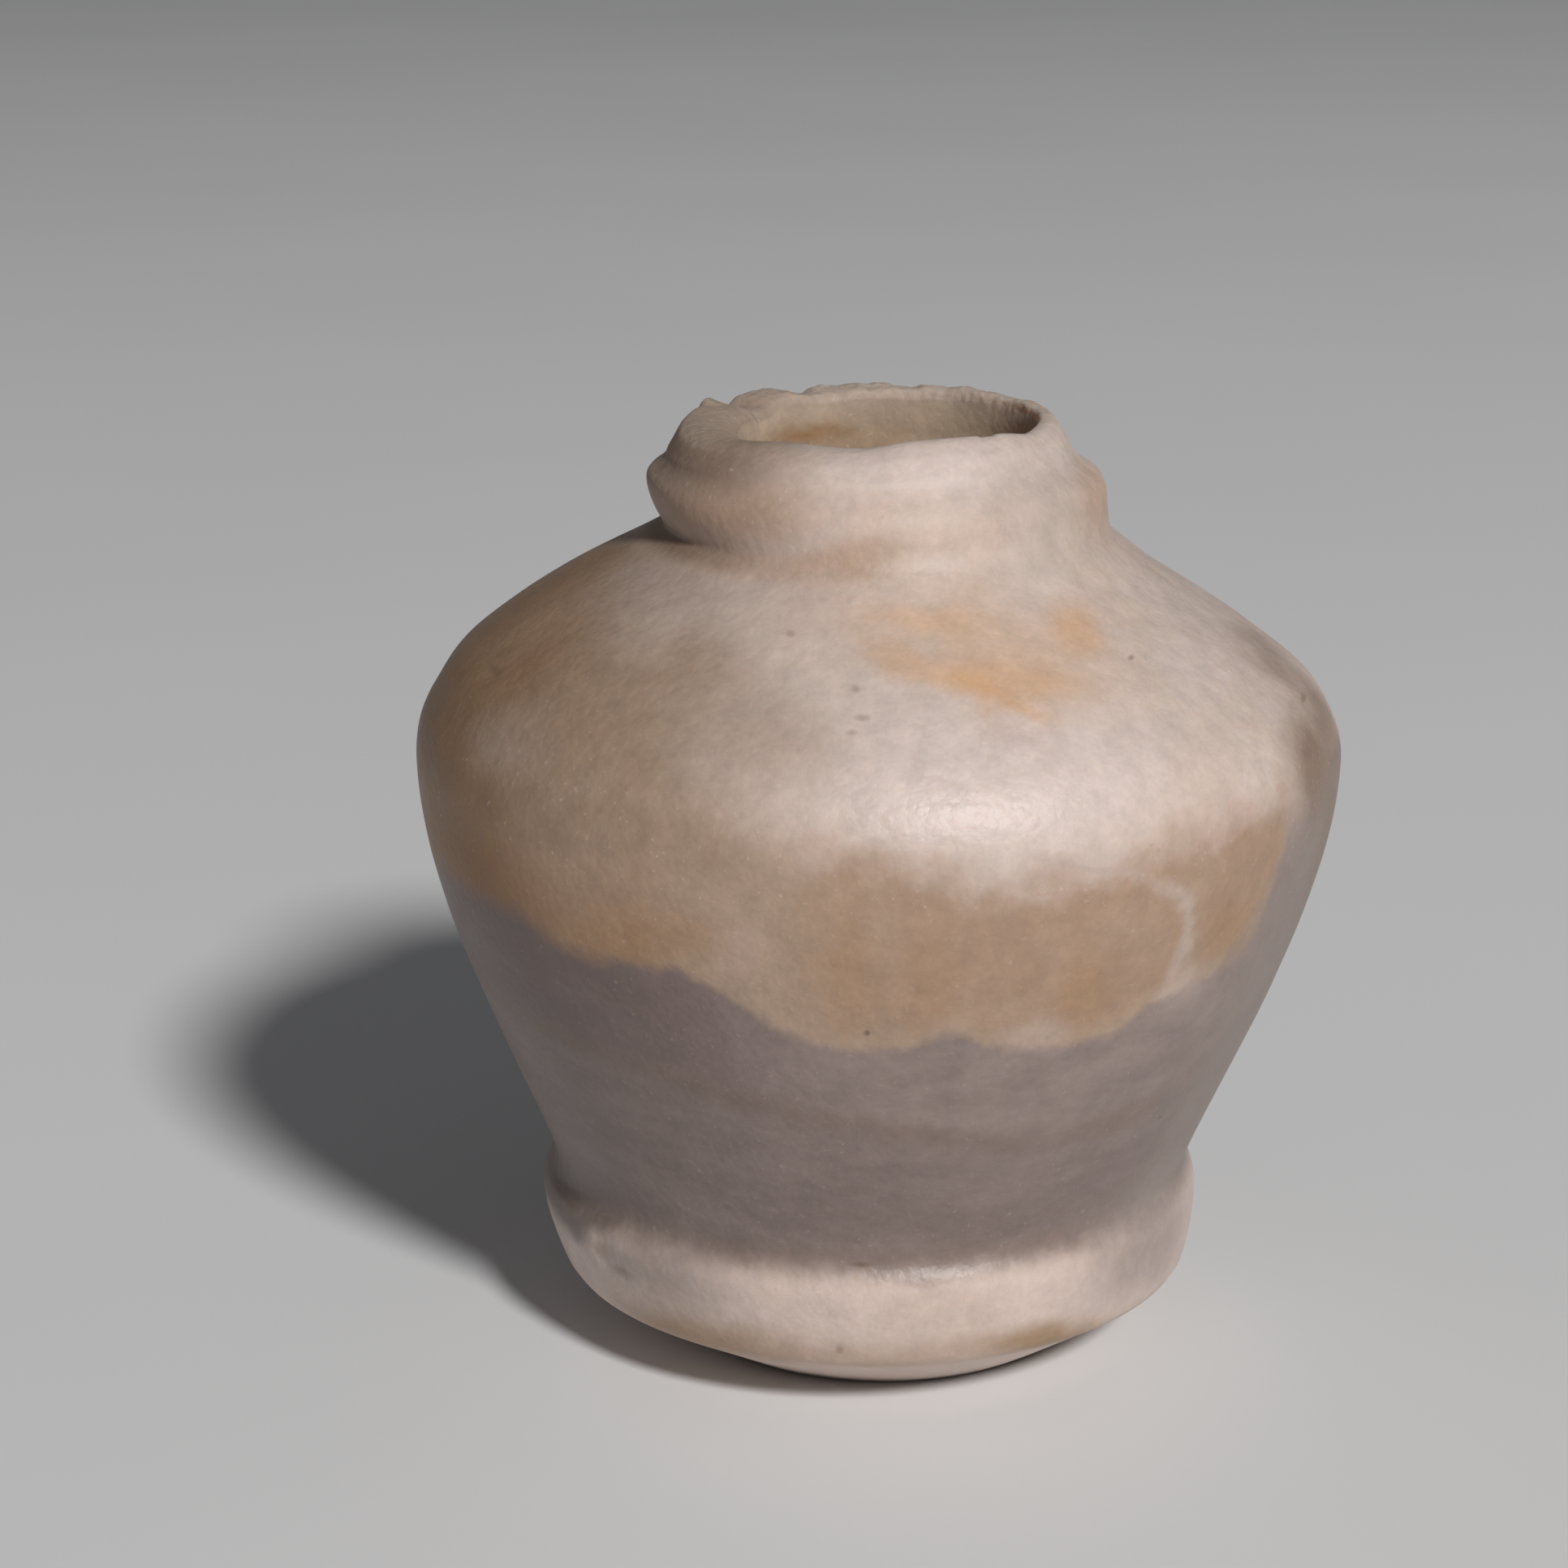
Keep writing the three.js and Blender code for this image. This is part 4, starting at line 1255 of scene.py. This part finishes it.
def foot_and_creases(tree, stone, x, height, degrees, broad, swing):
    """The pale foot, dropping lower on the left as painted shade; painted shade in the foot's crease;
    a brown stain and painted shade in the crease under the collar; and painted shade, a dark dull tan,
    on the neck's left.
    """
    # painted shade: on the left the pale foot starts lower, so the darker bed above covers its top
    shaded_foot = within(tree, degrees, SHADED_FOOT_TURNS)
    crease_top = FOOT_CREASE_LEVEL + FOOT_STONE_RISE
    start = worked(tree, "MULTIPLY_ADD", shaded_foot, -FOOT_SHADE_DROP, crease_top)
    start = worked(tree, "MULTIPLY_ADD", swing, FOOT_STONE_WANDER, start)
    below = worked(tree, "SUBTRACT", start, height)
    warm = eased(tree, broad, *FOOT_MOTTLE, 0.0, WARM_FOOT_STRENGTH)
    foot_stone = layered(tree, warm, FOOT_CREAM, WARM_CREAM)
    stone = layered(tree, eased(tree, below, *FOOT_STONE_REACH), stone, foot_stone)
    # painted shade: a darker band along the crease above the foot
    off_crease = off_level(tree, height, FOOT_CREASE_LEVEL + FOOT_CREASE_SHADE_RISE)
    crease_darkening = eased(tree, off_crease, *FOOT_CREASE_SHADE_REACH, 0.0, FOOT_CREASE_SHADE_STRENGTH)
    stone = layered(tree, crease_darkening, stone, STREAK_AND_SHADE_BROWN)
    # a brown stain along the crease under the collar, with painted shade growing towards the left, and
    # painted shade alone deep in the crease on the left
    off_crease = off_level(tree, height, COLLAR_CREASE_LEVEL)
    crease_darkening_side = eased(tree, x, *COLLAR_STAIN_AND_SHADE_SIDE, *COLLAR_STAIN_AND_SHADE_STRENGTHS)
    crease_darkening = both(tree, eased(tree, off_crease, *COLLAR_STAIN_AND_SHADE_REACH), crease_darkening_side)
    stone = layered(tree, crease_darkening, stone, BROWN_STAIN_AND_SHADE)
    deep_shade_side = eased(tree, x, *DEEP_CREASE_SHADE_SIDE, *DEEP_CREASE_SHADE_STRENGTHS)
    deep_crease_shade = both(tree, eased(tree, off_crease, *DEEP_CREASE_SHADE_REACH), deep_shade_side)
    stone = layered(tree, deep_crease_shade, stone, CREASE_SHADE_BROWN)
    # painted shade: the neck and collar darker on the left
    shaded_neck = within(tree, degrees, SHADED_NECK_TURNS)
    shaded_neck = both(tree, eased(tree, height, *SHADED_NECK_HEIGHTS), shaded_neck, SHADED_NECK_STRENGTH)
    return layered(tree, shaded_neck, stone, SHADED_NECK_TAN)


def stains_and_pits(tree, stone, place):
    """The stains that the mesh carries, one of them partly painted shade, and the dark pits over them.
    """
    for name, colour in STAIN_COLOURS:
        stone = layered(tree, marked(tree, name), stone, colour)
    pitted = None
    for strength, centre, size in PITS:
        wires = {"Place": place, "Centre": centre, "Size": size, "Strength": strength}
        share = grouped(tree, PIT, wires)["Share"]
        pitted = share if pitted is None else worked(tree, "MAXIMUM", pitted, share)
    return layered(tree, pitted, stone, PIT_BROWN)


def rim_and_bore(tree, stone, height, mottle, broken, inside):
    """The sugary broken rim, and the bore with its residue, with painted shade making it darker as it
    goes down.
    """
    stone = layered(tree, both(tree, broken, SUGARY_STRENGTH), stone, SUGARY)
    bore = layered(tree, eased(tree, mottle, *BORE_MOTTLE), BORE_TAN, BORE_BEIGE)
    bore = layered(tree, eased(tree, height, *MOUTH_HEIGHTS), bore, SUGARY)
    bore = layered(tree, marked(tree, "bore_residue"), bore, RESIDUE_AND_SHADE_BROWN)
    # painted shade: the bore goes darker, in the residue's brown, as it goes down
    deep = eased(tree, height, *BORE_SHADE_HEIGHTS, 0.0, BORE_SHADE_STRENGTH)
    bore = layered(tree, deep, bore, RESIDUE_AND_SHADE_BROWN)
    return layered(tree, inside, stone, bore)


def grained(tree, stone, height, grain):
    """Pale specks of single crystals, partly painted glints, strongest on the neck and as painted
    glints round the girth; and the tone of the grain over all.
    """
    sugary = eased(tree, height, *DRY_HEIGHTS, *SPECKLE_STRENGTHS)
    # painted glints: more bright crystal specks round the girth, where the highlight falls
    girth_glints = both(tree, within(tree, height, GIRTH_GLINT_HEIGHTS), GIRTH_GLINT_STRENGTH)
    specks_and_glints = both(tree, grain["Speckle"], worked(tree, "MAXIMUM", sugary, girth_glints))
    stone = layered(tree, specks_and_glints, stone, SPECK_AND_HIGHLIGHT_CREAM)
    tone = worked(tree, "MULTIPLY_ADD", grain["Tone"], TONE_CONTRAST, TONE_BASE)
    toned = node(tree, "ShaderNodeVectorMath", {0: stone, "Scale": tone}, operation="SCALE")
    return toned.outputs["Vector"]


def stone_roughness(tree, height, grain, broken, inside):
    """Softly glossy on the body, duller on the neck, the broken rim and the bore."""
    rough = worked(tree, "MULTIPLY_ADD", grain["Tone"], ROUGHNESS_CONTRAST, ROUGHNESS_BASE)
    rough = worked(tree, "ADD", rough, eased(tree, height, *DRY_HEIGHTS, 0.0, DRY_ROUGHNESS))
    rough = worked(tree, "MULTIPLY_ADD", broken, BROKEN_ROUGHNESS, rough)
    return worked(tree, "MULTIPLY_ADD", inside, BORE_ROUGHNESS, rough, clamp=True)


def banded_stone():
    material = bpy.data.materials.new("banded_stone")
    material.use_nodes = True
    tree = material.node_tree
    shader = tree.nodes["Principled BSDF"]
    object_place = node(tree, "ShaderNodeTexCoord").outputs["Object"]
    scale = {0: object_place, "Scale": MM_PER_METRE}
    place = node(tree, "ShaderNodeVectorMath", scale, operation="SCALE").outputs["Vector"]
    axes = node(tree, "ShaderNodeSeparateXYZ", {"Vector": place}).outputs
    x, y, height = axes["X"], axes["Y"], axes["Z"]
    turn = worked(tree, "ARCTAN2", x, worked(tree, "MULTIPLY", y, -1.0))
    turn_share = worked(tree, "MULTIPLY_ADD", turn, 0.5 / math.pi, 0.5)
    degrees = worked(tree, "MULTIPLY", turn, 180 / math.pi)
    grain = grouped(tree, STONE_GRAIN, {"Place": place, "Relief Depth": GRAIN_DEPTH})
    broad = worked(tree, "SUBTRACT", cloud(tree, place, *BROAD_CLOUD), 0.5)
    mottle = worked(tree, "SUBTRACT", grain["Mottle"], 0.5)
    strata = cloud(tree, moved(tree, "MULTIPLY", place, FLAT_LYING), *STRATA_CLOUD)
    swing = worked(tree, "SUBTRACT", cloud(tree, place, *SWING_CLOUD), 0.5)
    broken = marked(tree, "break_face")
    inside = marked(tree, "bore_wall")

    stone = upper_stone(tree, height, x, degrees, broad, mottle)
    foot, top, streak = bed_edges(tree, height, degrees, turn_share, swing)
    stone = tan_bed(tree, stone, height, degrees, grain, mottle, foot, top)
    stone = white_vein(tree, stone, height, degrees, swing, mottle)
    stone = layered(tree, foot["Above"], lilac_bed(tree, degrees, strata, mottle, streak), stone)
    stone = foot_and_creases(tree, stone, x, height, degrees, broad, swing)
    stone = stains_and_pits(tree, stone, place)
    stone = rim_and_bore(tree, stone, height, mottle, broken, inside)
    wire(tree, shader.inputs["Base Color"], grained(tree, stone, height, grain))

    roughness = stone_roughness(tree, height, grain, broken, inside)
    wire(tree, shader.inputs["Roughness"], roughness)
    coarseness = worked(tree, "MULTIPLY_ADD", broken, BROKEN_GRAIN, 1.0)
    relief = both(tree, grain["Relief"], coarseness)
    bump_wires = {"Strength": 1.0, "Distance": 1 / MM_PER_METRE, "Height": relief}
    bump = node(tree, "ShaderNodeBump", bump_wires)
    wire(tree, shader.inputs["Normal"], bump.outputs["Normal"])
    shader.inputs["IOR"].default_value = STONE_IOR
    shader.inputs["Specular IOR Level"].default_value = STONE_SPECULAR
    shader.inputs["Subsurface Weight"].default_value = SCATTER_WEIGHT
    shader.inputs["Subsurface Radius"].default_value = SCATTER_RADIUS
    shader.inputs["Subsurface Scale"].default_value = SCATTER_SCALE
    return material


FLOOR_REACH = 6.0
FLOOR_GREY = (0.77, 0.765, 0.76)
FLOOR_PALE = (0.79, 0.785, 0.78)
FLOOR_MOTTLE = (0.3, 0.7)
FLOOR_ROUGHNESS = 0.7


def pale_floor():
    material = bpy.data.materials.new("pale_floor")
    material.use_nodes = True
    tree = material.node_tree
    shader = tree.nodes["Principled BSDF"]
    place = node(tree, "ShaderNodeTexCoord").outputs["Object"]
    drift = node(tree, "ShaderNodeTexNoise", {"Vector": place, "Scale": 9.0, "Detail": 3.0})
    share = eased(tree, drift.outputs["Fac"], *FLOOR_MOTTLE)
    paint = layered(tree, share, FLOOR_GREY, FLOOR_PALE)
    wire(tree, shader.inputs["Base Color"], paint)
    shader.inputs["Roughness"].default_value = FLOOR_ROUGHNESS
    return material


jar = bpy.data.objects.new("kohl_jar_stone", carve_jar())
bpy.context.scene.collection.objects.link(jar)
jar.data.materials.append(banded_stone())
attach(jar, "root")
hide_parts("kohl_jar")

floor_mesh = bpy.data.meshes.new("floor")
corners = [(x * FLOOR_REACH, y * FLOOR_REACH, 0) for x, y in ((-1, -1), (1, -1), (1, 1), (-1, 1))]
floor_mesh.from_pydata(corners, [], [(0, 1, 2, 3)])
floor = bpy.data.objects.new("floor", floor_mesh)
floor_mesh.materials.append(pale_floor())
bpy.context.scene.collection.objects.link(floor)

# The camera, in metres and radians
CAMERA_PLACE = (0, -0.17846, 0.0778)
CAMERA_YAW = 0.02516
CAMERA_PITCH = math.radians(90 - 15.606)
CAMERA_ROLL = -0.0065
camera_data = bpy.data.cameras.new("camera")
camera_data.lens = 85
camera_data.sensor_width = 36
camera_data.clip_start = 0.01
camera = bpy.data.objects.new("camera", camera_data)
camera.matrix_world = (
    Matrix.Translation(CAMERA_PLACE)
    @ Matrix.Rotation(CAMERA_YAW, 4, "Z")
    @ Matrix.Rotation(CAMERA_PITCH, 4, "X")
    @ Matrix.Rotation(CAMERA_ROLL, 4, "Z")
)
bpy.context.scene.collection.objects.link(camera)
bpy.context.scene.camera = camera

# The studio: an even faint light all round, and one soft box
STUDIO_TINT = (0.93, 0.95, 1, 1)
STUDIO_STRENGTH = 0.11
LIGHT_AIM = (0, 0, 0.025)
world = bpy.data.worlds.new("studio")
world.use_nodes = True
bpy.context.scene.world = world
world.node_tree.nodes["Background"].inputs["Color"].default_value = STUDIO_TINT
world.node_tree.nodes["Background"].inputs["Strength"].default_value = STUDIO_STRENGTH


def soft_light(name, bearing, elevation, distance, size, power):
    """A round soft box aimed at the jar. bearing is to the right of the camera's side."""
    data = bpy.data.lights.new(name, "AREA")
    data.shape = "DISK"
    data.size = size
    data.energy = power
    light = bpy.data.objects.new(name, data)
    a, e = math.radians(bearing), math.radians(elevation)
    way = Vector((math.sin(a) * math.cos(e), -math.cos(a) * math.cos(e), math.sin(e)))
    light.location = Vector(LIGHT_AIM) + distance * way
    light.rotation_mode = "QUATERNION"
    light.rotation_quaternion = way.to_track_quat("Z", "Y")
    bpy.context.scene.collection.objects.link(light)


soft_light("key_light", bearing=26, elevation=36, distance=2.4, size=0.34, power=50)
bpy.context.scene.view_settings.view_transform = "Standard"
